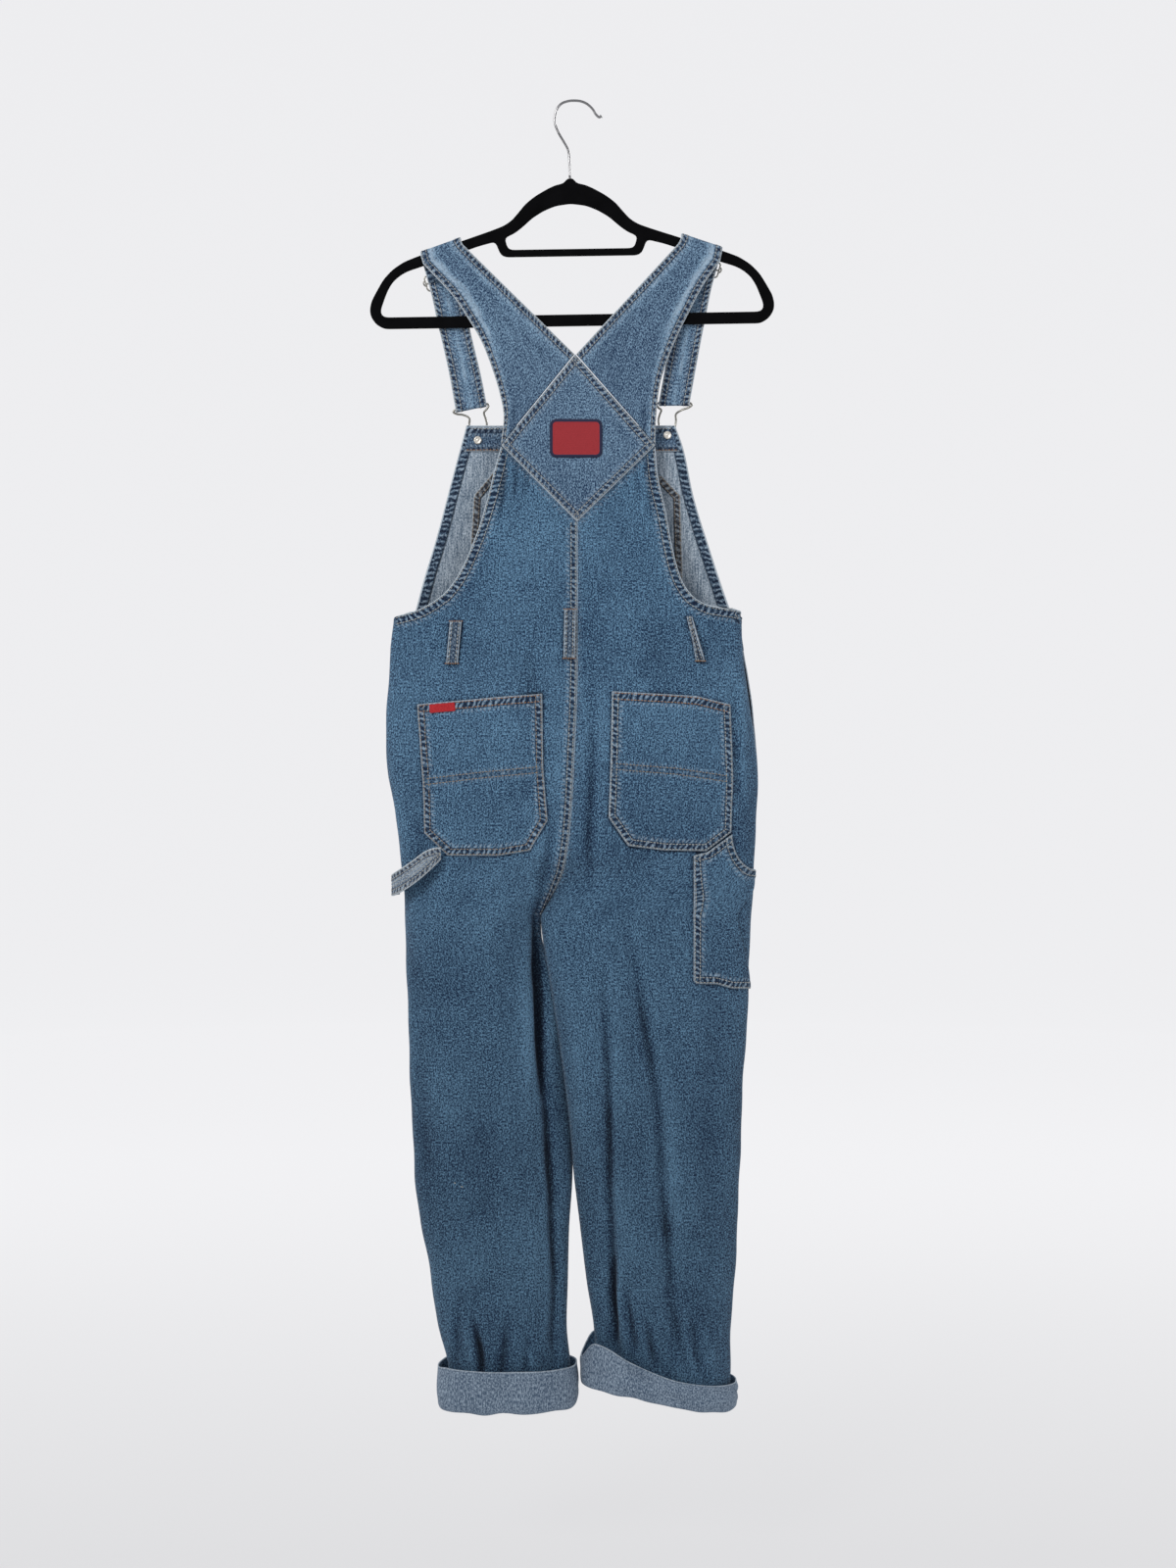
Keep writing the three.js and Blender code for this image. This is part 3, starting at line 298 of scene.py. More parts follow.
# Creases, given one by one: points (x, z) along each, its rise in mm (- for a trough) and its width.
CREASES = {
    "back_left": [
        ([(-40, -893), (-43, -925), (-42, -975), (-40, -1040), (-36, -1100)], -9.0, 6.0),
        ([(-44, -1000), (-40, -1060), (-31, -1150), (-26, -1250), (-23, -1330), (-22, -1410)], -4.4, 3.4),
        ([(-62, -930), (-58, -1040), (-46, -1180), (-40, -1330)], 1.6, 9),
        ([(-80, -1010), (-78, -1150), (-70, -1290)], 0.8, 11),
        ([(-113, -1345), (-106, -1380), (-103, -1425)], -5.2, 3.4),
        ([(-128, -1330), (-131, -1375), (-136, -1420)], -2.4, 4.5),
        ([(-74, -1350), (-79, -1385), (-84, -1422)], -3.0, 4),
        ([(-50, -1370), (-54, -1395), (-56, -1422)], -2.4, 3.5),
        ([(-24, -770), (-26, -815), (-34, -862), (-40, -900)], -2.6, 5),
        ([(-14, -690), (-18, -760), (-24, -830)], 1.2, 6),
        ([(-76, -389), (-79, -420), (-84, -470)], -3.2, 3.4),
        ([(-66, -398), (-66, -425), (-70, -450)], -1.8, 2.8),
        ([(-54, -410), (-54, -436)], -1.2, 2.6),
        ([(-150, -600), (-120, -640), (-60, -690)], 0.5, 22),
        ([(-188, -760), (-176, -800), (-168, -850), (-160, -930)], -1.5, 9),
        ([(-52, -600), (-46, -700), (-46, -760)], -0.9, 10),
        ([(-58, -866), (-100, -884), (-150, -890)], -1.0, 9),
        ([(-70, -1190), (-110, -1230), (-150, -1255)], -0.8, 13),
        ([(-52, -1290), (-96, -1312), (-140, -1345)], -0.9, 10),
        ([(-176, -960), (-170, -1100), (-162, -1220)], -1.2, 8)],
    "back_right": [
        ([(62, -890), (66, -960), (74, -1010), (89, -1100), (95, -1180), (104, -1300), (106, -1405)],
         -3.2, 4.4),
        ([(84, -960), (98, -1060), (110, -1170), (118, -1300)], 1.2, 12),
        ([(30, -960), (34, -1030), (37, -1120), (38, -1200), (42, -1300), (42, -1385)], -4.2, 3.6),
        ([(48, -980), (54, -1080), (60, -1180), (62, -1320)], 1.4, 10),
        ([(44, -1275), (43, -1330), (45, -1385)], -5.0, 3.4),
        ([(56, -1310), (60, -1350), (68, -1394)], -3.0, 4),
        ([(128, -1350), (134, -1390), (144, -1424)], -3.4, 4),
        ([(78, -1350), (84, -1380), (90, -1408)], -2.6, 4),
        ([(112, -1340), (116, -1380), (122, -1415)], -2.0, 4),
        ([(18, -640), (19, -740), (15, -830), (4, -890)], -2.8, 5),
        ([(78, -389), (82, -420), (88, -470)], -3.0, 3.4),
        ([(68, -398), (69, -425), (73, -450)], -1.8, 2.8),
        ([(56, -412), (57, -436)], -1.2, 2.6),
        ([(182, -640), (184.5, -700), (187, -760), (193, -800)], 1.4, 5),
        ([(174, -650), (177, -710), (181, -780)], -2.0, 4.5),
        ([(-26, -925), (-10, -985), (2, -1070), (10, -1150)], 1.4, 8),
        ([(150, -1010), (148, -1140), (146, -1290)], -1.3, 11),
        ([(100, -870), (60, -890), (10, -915)], -0.9, 12),
        ([(58, -1225), (104, -1250), (150, -1262)], -0.9, 12),
        ([(128, -640), (140, -648), (158, -650)], -0.8, 6)],
    "front_left": [
        ([(-20, -690), (-60, -660), (-130, -640)], -0.9, 14),
        ([(-30, -830), (-70, -800), (-130, -780)], -1.4, 12),
        ([(-34, -880), (-80, -860), (-150, -850)], 1.1, 14),
        ([(-70, -900), (-74, -1100), (-70, -1290)], -1.2, 9),
        ([(-110, -1290), (-104, -1350), (-108, -1415)], -2.6, 8),
        ([(-50, -1330), (-46, -1370), (-52, -1415)], -2.6, 7),
        ([(-130, -1000), (-134, -1140), (-128, -1300)], 0.9, 12),
        ([(-90, -1080), (-130, -1110), (-165, -1120)], -0.9, 13),
        ([(-60, -1150), (-90, -1170), (-130, -1175)], 0.8, 13)],
    "front_right": [
        ([(22, -690), (70, -665), (130, -650)], -0.9, 14),
        ([(-10, -850), (50, -815), (120, -790)], -1.4, 12),
        ([(-14, -890), (60, -865), (140, -850)], 1.1, 14),
        ([(72, -900), (84, -1100), (92, -1300)], -1.3, 9),
        ([(56, -1320), (60, -1360), (54, -1400)], -2.6, 7),
        ([(126, -1320), (130, -1370), (126, -1415)], -2.6, 8),
        ([(140, -990), (142, -1140), (140, -1300)], 0.9, 12),
        ([(50, -1090), (90, -1120), (150, -1130)], -0.9, 13),
        ([(40, -1160), (80, -1178), (130, -1190)], 0.8, 13)],
}


def outer_edge(layer, side, z):
    """How far out the garment reaches at a height, with the small waves of its side seam."""
    proud = FRONT_PROUD(z) if (layer, side) == ("front", "right") else 0
    wobble = (0.45 * np.sin(z / 21.0) + 0.3 * np.sin(z / 9.3 + 2)) * smooth(-590, -640, z)
    return OUTER[side](z) + proud + wobble


def body_y(layer, x, z):
    """How far a layer stands out at any place above the crotch."""
    centre = MIDDLE[layer](z)
    low = np.minimum(z, WAIST)
    half = np.where(x < centre, centre - OUTER["left"](low), OUTER["right"](low) - centre)
    reach = np.minimum(1, np.abs(x - centre) / half)
    return OUTWARD[layer] * DEPTH[layer](z) * (1 - reach ** BODY_ROUND) ** (1 / BODY_ROUND)


def section(layer, side, z, steps=240):
    """One panel's line at a height, from its middle seam to the side seam: x, y and the seam plane."""
    hand, out = SIDE[side], OUTWARD[layer]
    spread = smooth(*SPREAD, z)
    depth = DEPTH[layer](z)
    outer, centre = outer_edge(layer, side, z), MIDDLE[layer](z)
    inner = INNER[side](z) if z < CROTCH else centre
    s = np.linspace(1, 0, steps + 1)
    angle = (1 - s) * math.pi / 2
    body_x = centre + hand * abs(outer - centre) * np.sin(angle) ** (2 / BODY_ROUND)
    body_out = depth * np.maximum(0, np.cos(angle)) ** (2 / BODY_ROUND)
    turn = math.pi * (0.5 - s)
    reach = np.sign(turn) * np.abs(np.sin(turn)) ** (2 / LEG_ROUND)
    leg_x = (outer + inner) / 2 + hand * abs(outer - inner) / 2 * reach
    leg_out = depth * np.abs(np.cos(turn)) ** (2 / LEG_ROUND)
    seam = CROSSING(z) * -hand * smooth(0.1, -1, reach) * spread
    x = mix(body_x, leg_x, spread)
    away = mix(body_out, leg_out, spread)
    fade = np.minimum(1, 8 * s * (1 - s))
    rise = sum(high(z) * bell(x - line(z), width) for line, high, width in FOLDS[f"{layer}_{side}"])
    away = away + np.maximum(rise * fade, -DEEPEST * away)
    return x, seam + out * away, seam


def grid_normals(grid, toward, loop=False):
    """Unit normals of a grid of points, mostly facing toward."""
    if loop:
        across = np.roll(grid, -1, axis=1) - np.roll(grid, 1, axis=1)
    else:
        across = np.gradient(grid, axis=1)
    normals = unit(np.cross(np.gradient(grid, axis=0), across))
    return normals if (normals @ np.array(toward, float)).mean() > 0 else -normals


class Lattice:
    """A surface over a flat plane: u across the cloth and z down it, in mm."""

    def __init__(self, u, z, points, toward):
        self.u, self.z, self.points = u, z, points
        self.toward = toward
        self.seam = np.zeros(points.shape[:2])
        self.relief = np.zeros(points.shape[:2])
        self.refresh()

    def refresh(self):
        self.normals = grid_normals(self.points, self.toward)

    def push(self, rise):
        self.points = self.points + self.normals * rise[..., None]
        self.relief = self.relief + rise
        self.refresh()

    def read(self, values, flat):
        flat = np.asarray(flat, float)
        fu = np.clip((flat[..., 0] - self.u[0]) / (self.u[1] - self.u[0]), 0, len(self.u) - 1.001)
        fz = np.clip((flat[..., 1] - self.z[0]) / (self.z[1] - self.z[0]), 0, len(self.z) - 1.001)
        i, j = fz.astype(int), fu.astype(int)
        s, t = fz - i, fu - j
        if values.ndim == 3:
            s, t = s[..., None], t[..., None]
        return mix(mix(values[i, j], values[i, j + 1], t), mix(values[i + 1, j], values[i + 1, j + 1], t), s)

    def place(self, flat, above=0.0):
        normals = unit(self.read(self.normals, flat))
        return self.read(self.points, flat) + normals * np.asarray(above)[..., None], normals


ROW_STEP = 3.0      # of a panel's lattice, down it
COLUMN_STEP = 2.5   # and across it
LAY_STEP = 7.0      # between the points of an outline that is laid on a panel


def panel_lattice(layer, side):
    """One panel's surface: u along its width from the middle seam, z down it."""
    z = np.arange(-372, LEG_END - 12, -ROW_STEP)
    u = np.arange(-10, 300, COLUMN_STEP)
    points = np.empty((len(z), len(u), 3))
    seam = np.empty((len(z), len(u)))
    ends = np.empty(len(z))
    for i, height in enumerate(z):
        x, y, plane = section(layer, side, height)
        reach = np.concatenate([[0], np.cumsum(np.hypot(np.diff(x), np.diff(y)))])
        ends[i] = reach[-1]
        inward = np.array([x[1] - x[0], y[1] - y[0]]) / (reach[1] - reach[0])
        outward = np.array([x[-1] - x[-2], y[-1] - y[-2]]) / (reach[-1] - reach[-2])
        before, after = np.minimum(u, 0), np.maximum(u - reach[-1], 0)
        points[i, :, 0] = np.interp(u, reach, x) + before * inward[0] + after * outward[0]
        points[i, :, 1] = np.interp(u, reach, y) + before * inward[1] + after * outward[1]
        points[i, :, 2] = height
        seam[i] = np.interp(u, reach, plane)
    lattice = Lattice(u, z, points, (0, OUTWARD[layer], 0))
    lattice.seam = seam
    lattice.ends = lambda at: np.interp(-np.asarray(at, float), -z, ends)
    return lattice


def flat_place(lattice, x, z):
    """Where a place (x, z) is on the panel's flat cloth."""
    row = lattice.read(lattice.points, np.stack([lattice.u, np.full(len(lattice.u), z)], 1))
    end = float(lattice.ends(z))
    use = (lattice.u >= 0) & (lattice.u <= end + COLUMN_STEP)
    order = np.argsort(row[use, 0])
    return np.array([np.interp(x, row[use, 0][order], lattice.u[use][order]), z])


def lay(lattice, outline, closed=True):
    """An outline or line in (x, z) as it lies on the panel's flat cloth."""
    return np.array([flat_place(lattice, x, z) for x, z in densify(outline, LAY_STEP, closed)])


def lay_line(lattice, points):
    """A line in (x, z) as it lies on the panel's flat cloth."""
    return lay(lattice, points, closed=False)


def crease_field(lattice, creases, place):
    """How far the listed creases push each point of a lattice out, in mm."""
    flat = np.stack(np.meshgrid(lattice.u, lattice.z), -1).reshape(-1, 2)
    total = np.zeros(len(flat))
    for points, rise, width in creases:
        line = spline([place(lattice, x, z) for x, z in points], 24)
        away, run = nearest(flat, line, signed=True)
        length = np.linalg.norm(np.diff(line, axis=0), axis=1).sum()
        ends = np.sin(math.pi * np.clip(run / length, 0.02, 0.98)) ** 0.6
        # Cloth that is pressed in along a line rises beside it, more on one side.
        beside = 0.5 * bell(away - 2.5 * width, 1.7 * width) + 0.2 * bell(away + 2.5 * width, 1.7 * width)
        total += rise * ends * (bell(away, width) - (beside if rise < 0 else 0))
    return total.reshape(len(lattice.z), len(lattice.u))


PANELS = {}
for layer in ("back", "front"):
    for side in ("left", "right"):
        name = f"{layer}_{side}"
        lattice = panel_lattice(layer, side)
        u, z = np.meshgrid(lattice.u, lattice.z)
        end = lattice.ends(z)
        fade = smooth(0, 16, u) * smooth(0, 16, end - u)
        shift = 400 * (1 + list(FOLDS).index(name))
        rise = crease_field(lattice, CREASES[name], flat_place)
        rise += 0.75 * BROAD(u + shift, z * 0.55) + 0.16 * FINE(u + shift, z)
        low_wear = smooth(-1300, -1420, z)
        rise += 0.5 * low_wear * FINE(1.2 * u + shift, 0.5 * z)
        room = np.abs(lattice.points[..., 1] - lattice.seam)
        lattice.push(np.maximum(rise * fade, -0.3 * room))
        # The largest folds, already in the panel's shape, are added to the relief as well, so that their
        # troughs get painted shade.
        for line, high, width in FOLDS[name]:
            x = lattice.points[..., 0]
            lattice.relief += 0.13 * (high(z) * bell(x - line(z), width * 0.8)) * fade
        PANELS[name] = lattice


# ---- where pockets lie on the panels --------------------------------------------------------------
BACK_POCKET = {
    "left": [(-173.5, -672.5), (-36, -661), (-34.8, -742), (-30.5, -800), (-49, -832.5),
             (-84.5, -838.5), (-139.5, -838.5), (-165, -814), (-167, -760)],
    "right": [(40.5, -658.5), (134, -663.8), (170.3, -672.6), (173.2, -755), (171.3, -813),
              (143.7, -833.7), (97.5, -832.7), (58.2, -827.8), (36.6, -796.5), (38.6, -739.5)],
}
POCKET_ROWS = {"left": [(-168.5, -758), (-100, -750), (-35.5, -744)],
               "right": [(39, -740.5), (110, -746), (172, -755)]}
MOUTH_POINTS = {"left": 2, "right": 3}
MOUTH = {"centre": (204, -815.4), "across": 31.5, "down": 41}
POCKET_LINES = {}
for side in ("left", "right"):
    lattice = PANELS[f"back_{side}"]
    corners = BACK_POCKET[side]
    over = MOUTH_POINTS[side]
    POCKET_LINES[side] = (lay(lattice, corners), lay_line(lattice, corners[:over]),
                          lay_line(lattice, corners[over - 1:] + corners[:1]))


def tool_lines():
    """The tool pocket's left edge, curved mouth and bottom, on the right panel's flat cloth."""
    lattice = PANELS["back_right"]
    turn = np.linspace(0, math.pi / 2, 14)[:-3]
    mouth = np.stack([MOUTH["centre"][0] - MOUTH["across"] * np.cos(turn),
                      MOUTH["centre"][1] - MOUTH["down"] * np.sin(turn)], 1)
    side = lambda z: np.array([float(lattice.ends(z)) - 0.6, z])
    left = lay_line(lattice, [(133, -979.3), (130, -976), (130, -838.4), (145.4, -834.8), mouth[0]])
    curve = np.vstack([[flat_place(lattice, x, z) for x, z in mouth], [side(-855.5)]])
    low = np.vstack([[side(-988)], lay_line(lattice, [(172.5, -985.5), (155.6, -980.3), (133, -979.3)])])
    return left, curve, low


TOOL_LINES = tool_lines()
TOOL_OUTLINE = np.vstack([TOOL_LINES[0][:-1], TOOL_LINES[1], TOOL_LINES[2][:-1]])
LOOPS = {  # side, top, bottom, widths there, how far it stands off and how far it twists
    "left": ("left", (-131.5, -580.5), (-135.5, -627.5), (12.7, 12.7), 1.8, 0.0),
    "centre": ("left", (-5.5, -567.5), (-6.5, -622), (12.4, 12.4), 1.4, 0.0),
    "right": ("right", (126, -575.5), (138, -624.5), (6.0, 9.5), 4.5, 0.75),
}
LAID = {"back_left": [POCKET_LINES["left"][0]], "back_right": [POCKET_LINES["right"][0], TOOL_OUTLINE],
        "front_left": [], "front_right": []}
for side, top, bottom, widths, _, _ in LOOPS.values():
    around = [(top[0] - widths[0] / 2, top[1]), (top[0] + widths[0] / 2, top[1]),
              (bottom[0] + widths[1] / 2, bottom[1]), (bottom[0] - widths[1] / 2, bottom[1])]
    LAID[f"back_{side}"].append(lay(PANELS[f"back_{side}"], around))


def painted_outline_shade(name, flat):
    """Painted shade round the pockets and belt loops laid on a panel: a dark line of painted shadow at each
    outline, then small puckers painted as light and shade.
    """
    points = flat.reshape(-1, 2)
    total = np.zeros(len(points))
    for outline in LAID[name]:
        near = (points > outline.min(0) - 14).all(1) & (points < outline.max(0) + 14).all(1)
        away, run = nearest(points[near], looped(outline))
        puckers = np.sin(2 * math.pi * run / 6.2 + 1.7 * np.sin(run / 13)) * bell(away - 4.5, 3.5)
        total[near] += -4.2 * bell(away, 1.6) + 1.5 * puckers
    return total.reshape(flat.shape[:-1])


# The turn-ups: the heights of their upper and lower edges across each leg.
CUFF_TOP = {"left": profile([(150, -1406), (140, -1403), (0, -1403)]),
            "right": profile([(181, -1423), (160, -1421.5), (113, -1414), (60, -1392), (23, -1376),
                              (5, -1402)])}
CUFF_LOW = {"left": lambda x: -1450.5 + 0.012 * (x + 150),
            "right": lambda x: mix(-1426, -1451.5, smooth(5, 175, x))}


# ---- meshes ---------------------------------------------------------------------------------------
def add_object(name, data):
    """An object in the scene for a mesh, curve, light or camera."""
    made = bpy.data.objects.new(name, data)
    bpy.context.scene.collection.objects.link(made)
    return made


def shade_smooth(mesh):
    """Smooth shading on every face."""
    mesh.polygons.foreach_set("use_smooth", np.full(len(mesh.polygons), True))


def body_piece(name, mesh, weld=0.0):
    """A smooth piece on the part's body, its faces turned outwards and points within weld joined."""
    work = bmesh.new()
    work.from_mesh(mesh)
    if weld:
        bmesh.ops.remove_doubles(work, verts=work.verts, dist=weld)
    bmesh.ops.recalc_face_normals(work, faces=work.faces)
    work.to_mesh(mesh)
    work.free()
    shade_smooth(mesh)
    piece = add_object(name, mesh)
    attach(piece, "root")
    return piece


def make(name, points, faces, materials, face_material=None, marks=None):
    """A mesh object from points in mm."""
    mesh = bpy.data.meshes.new(name)
    mesh.from_pydata((np.asarray(points) * MM).tolist(), [], np.asarray(faces).tolist()
                     if not isinstance(faces, list) else faces)
    for material in materials:
        mesh.materials.append(material)
    if face_material is not None:
        mesh.polygons.foreach_set("material_index", np.asarray(face_material, np.int32))
    for key, values in (marks or {}).items():
        data = np.asarray(values, np.float32)
        kind = "FLOAT_VECTOR" if data.ndim == 2 else "FLOAT"
        slot = "vector" if data.ndim == 2 else "value"
        mesh.attributes.new(key, kind, "POINT").data.foreach_set(slot, data.ravel())
    mesh.update()
    return body_piece(name, mesh)


def grid_faces(rows, columns, loop=False):
    """The quads of a grid of points, closed across if it is a loop."""
    i, j = np.meshgrid(np.arange(rows - 1), np.arange(columns if loop else columns - 1), indexing="ij")
    right = (j + 1) % columns
    return np.stack([i * columns + j, i * columns + right, (i + 1) * columns + right,
                     (i + 1) * columns + j], -1).reshape(-1, 4)


def rim_faces(rows, columns, loop=False):
    """The faces that join a grid's border to that of its copy behind it."""
    back = rows * columns
    walks = []
    across = np.arange(columns)
    if loop:
        across = np.append(across, 0)
    walks.append(across)
    walks.append(across + (rows - 1) * columns)
    if not loop:
        walks.append(np.arange(rows) * columns)
        walks.append(np.arange(rows) * columns + columns - 1)
    return np.concatenate([np.stack([w[:-1], w[1:], w[1:] + back, w[:-1] + back], 1) for w in walks])


def shell(name, grid, toward, thickness, looks, marks, loop=False, seam=None, outward=1, normals=None):
    """A closed wall of cloth: grid is its right side, its wrong side is thickness behind that.

    looks are the materials of its right side, its wrong side and its edges.
    """
    rows, columns = grid.shape[:2]
    if normals is None:
        normals = grid_normals(grid, toward, loop)
    behind = grid - normals * np.asarray(thickness)[..., None]
    if seam is not None:
        behind[..., 1] = seam + outward * np.maximum(0, outward * (behind[..., 1] - seam))
    points = np.concatenate([grid.reshape(-1, 3), behind.reshape(-1, 3)])
    front = grid_faces(rows, columns, loop)
    rim = rim_faces(rows, columns, loop)
    faces = np.concatenate([front, front[:, ::-1] + rows * columns, rim])
    which = np.concatenate([np.zeros(len(front)), np.ones(len(front)), np.full(len(rim), 2)])
    doubled = {key: np.concatenate([v.reshape(rows * columns, -1)] * 2).squeeze()
               for key, v in marks.items()}
    return make(name, points, faces, looks, which, doubled)


# ---- hems ---------------------------------------------------------------------------------------
ROPE_PITCH = 6.3
HEM_STEP = 2.5


class Hem:
    """A sewn edge or seam on a piece of cloth: its line on the flat, and how it looks."""

    def __init__(self, line, width=9.0, pale=1.0, rope=1.0, rows=(1.8, -1.6), thread="pale", high=0.7):
        self.line = np.array(line, float)
        self.width, self.pale, self.rope, self.high = width, pale, rope, high
        self.rows, self.thread = rows, thread


def hem_marks(flat, hems):
    """For points on the flat: distance, run, width, paleness, roping and height of the nearest hem."""
    shape = flat.shape[:-1]
    points = flat.reshape(-1, 2)
    found = np.tile(np.array([200.0, 0, 9, 0, 0, 0]), (len(points), 1))
    start = 0.0
    for hem in hems:
        away, run = nearest(points, hem.line)
        closer = away < found[:, 0]
        values = np.stack([away, run + start] + [np.full(len(points), v)
                                                 for v in (hem.width, hem.pale, hem.rope, hem.high)], 1)
        found = np.where(closer[:, None], values, found)
        start += 37.0
    return found.reshape(*shape, 6)


def hem_rise(marks):
    """A hem's folded thickness, its roping, and the puckers that its stitching draws beside it."""
    away, run, width, _, rope, high = np.moveaxis(marks, -1, 0)
    band = smooth(1.2, -1.2, away - width)
    twist = np.sin(2 * math.pi * (run + 0.8 * away) / ROPE_PITCH + 1.5 * np.sin(run / 23))
    pucker = np.sin(2 * math.pi * run / (ROPE_PITCH * 1.9) + np.sin(run / 17)) * bell(away - width - 4, 4.5)
    edge = -0.45 * bell(away, 1.6) * np.minimum(1, high * 2)
    return band * high * (1 + 0.3 * rope * twist) + 0.22 * rope * pucker + edge


def cloth_marks(flat, marks, relief, seed):
    """The named attributes that the cloth materials read."""
    return {
        "cloth": np.concatenate([flat, np.full((*flat.shape[:-1], 1), seed)], -1),
        "hem": marks[..., :3],
        # pale and rope are the hems' wear; relief also drives the painted shade and highlight of folds and
        # creases.
        "wear_and_shade": np.stack([marks[..., 3], marks[..., 4], relief], -1),
    }


THREADS = {"pale": [], "tan": [], "orange": []}


def sew(colour, points, normals):
    """Keeps a line of stitching, which is made with all the others of its colour."""
    THREADS[colour].append((points, normals))


def sew_hems(surface, hems, outline, height):
    """Keeps the rows of stitches of every hem; height says how far out each point lies."""
    for hem in hems:
        for row in hem.rows:
            line = offset(resample(hem.line, HEM_STEP), row if row >= 0 else hem.width + row, outline)
            line = line[inside(outline, line)]
            if len(line) < 3:
                continue
            above = height(line) + 0.12
            sew(hem.thread, *surface.place(line, above))


# ---- materials ------------------------------------------------------------------------------------
def linear(red, green, blue):
    """A colour given as 0-255 display values, in linear light."""
    def one(v):
        v /= 255
        return v / 12.92 if v <= 0.04045 else ((v + 0.055) / 1.055) ** 2.4
    return (one(red), one(green), one(blue), 1.0)


class Nodes:
    """A material's node tree, written as short calls."""

    def __init__(self, name):
        self.material = bpy.data.materials.new(name)
        self.material.use_nodes = True
        self.tree = self.material.node_tree
        self.shader = self.tree.nodes["Principled BSDF"]

    def add(self, kind, inputs=(), out=0, **settings):
        made = self.tree.nodes.new(kind)
        for key, value in settings.items():
            setattr(made, key, value)
        for key, value in dict(inputs).items():
            self.set(made, key, value)
        return made.outputs[out]

    def set(self, made, key, value):
        socket = made.inputs[key]
        if isinstance(value, bpy.types.NodeSocket):
            self.tree.links.new(value, socket)
        else:
            socket.default_value = value

    def maths(self, operation, *values, clamp=False):
        return self.add("ShaderNodeMath", enumerate(values), operation=operation, use_clamp=clamp)

    def times(self, a, b):
        return self.maths("MULTIPLY", a, b)

    def vary(self, value, amount, onto):
        """onto, moved by how far a noise lies from its middle."""
        return self.maths("MULTIPLY_ADD", self.maths("SUBTRACT", value, 0.5), amount, onto)

    def ramp(self, value, low, high, to_low=0.0, to_high=1.0):
        return self.add("ShaderNodeMapRange", {"Value": value, "From Min": low, "From Max": high,
                                               "To Min": to_low, "To Max": to_high},
                        interpolation_type="SMOOTHSTEP")

    def blend(self, factor, a, b, blend_type="MIX"):
        return self.add("ShaderNodeMix", {0: factor, 6: a, 7: b}, out=2, data_type="RGBA",
                        blend_type=blend_type)

    def tint(self, mask, share, colour, other):
        return self.blend(self.times(mask, share), colour, other)

    def place(self):
        return self.add("ShaderNodeTexCoord", out="Object")

    def attribute(self, name):
        return self.add("ShaderNodeAttribute", attribute_name=name, out="Vector")

    def split(self, vector):
        made = self.tree.nodes.new("ShaderNodeSeparateXYZ")
        self.tree.links.new(vector, made.inputs[0])
        return made.outputs

    def scaled(self, vector, x, y, z):
        return self.add("ShaderNodeVectorMath", {0: vector, 1: (x, y, z)}, operation="MULTIPLY")

    def noise(self, vector, scale=1.0, detail=2.0, roughness=0.5):
        return self.add("ShaderNodeTexNoise", {"Vector": vector, "Scale": scale, "Detail": detail,
                                               "Roughness": roughness})

    def bump(self, height, distance, strength):
        return self.add("ShaderNodeBump", {"Height": height, "Distance": distance, "Strength": strength})

    def finish(self, **inputs):
        for key, value in inputs.items():
            self.set(self.shader, key.replace("_", " "), value)
        return self.material


BODY_LIGHT = 0.31  # where between its body and bright colours unworn cloth lies


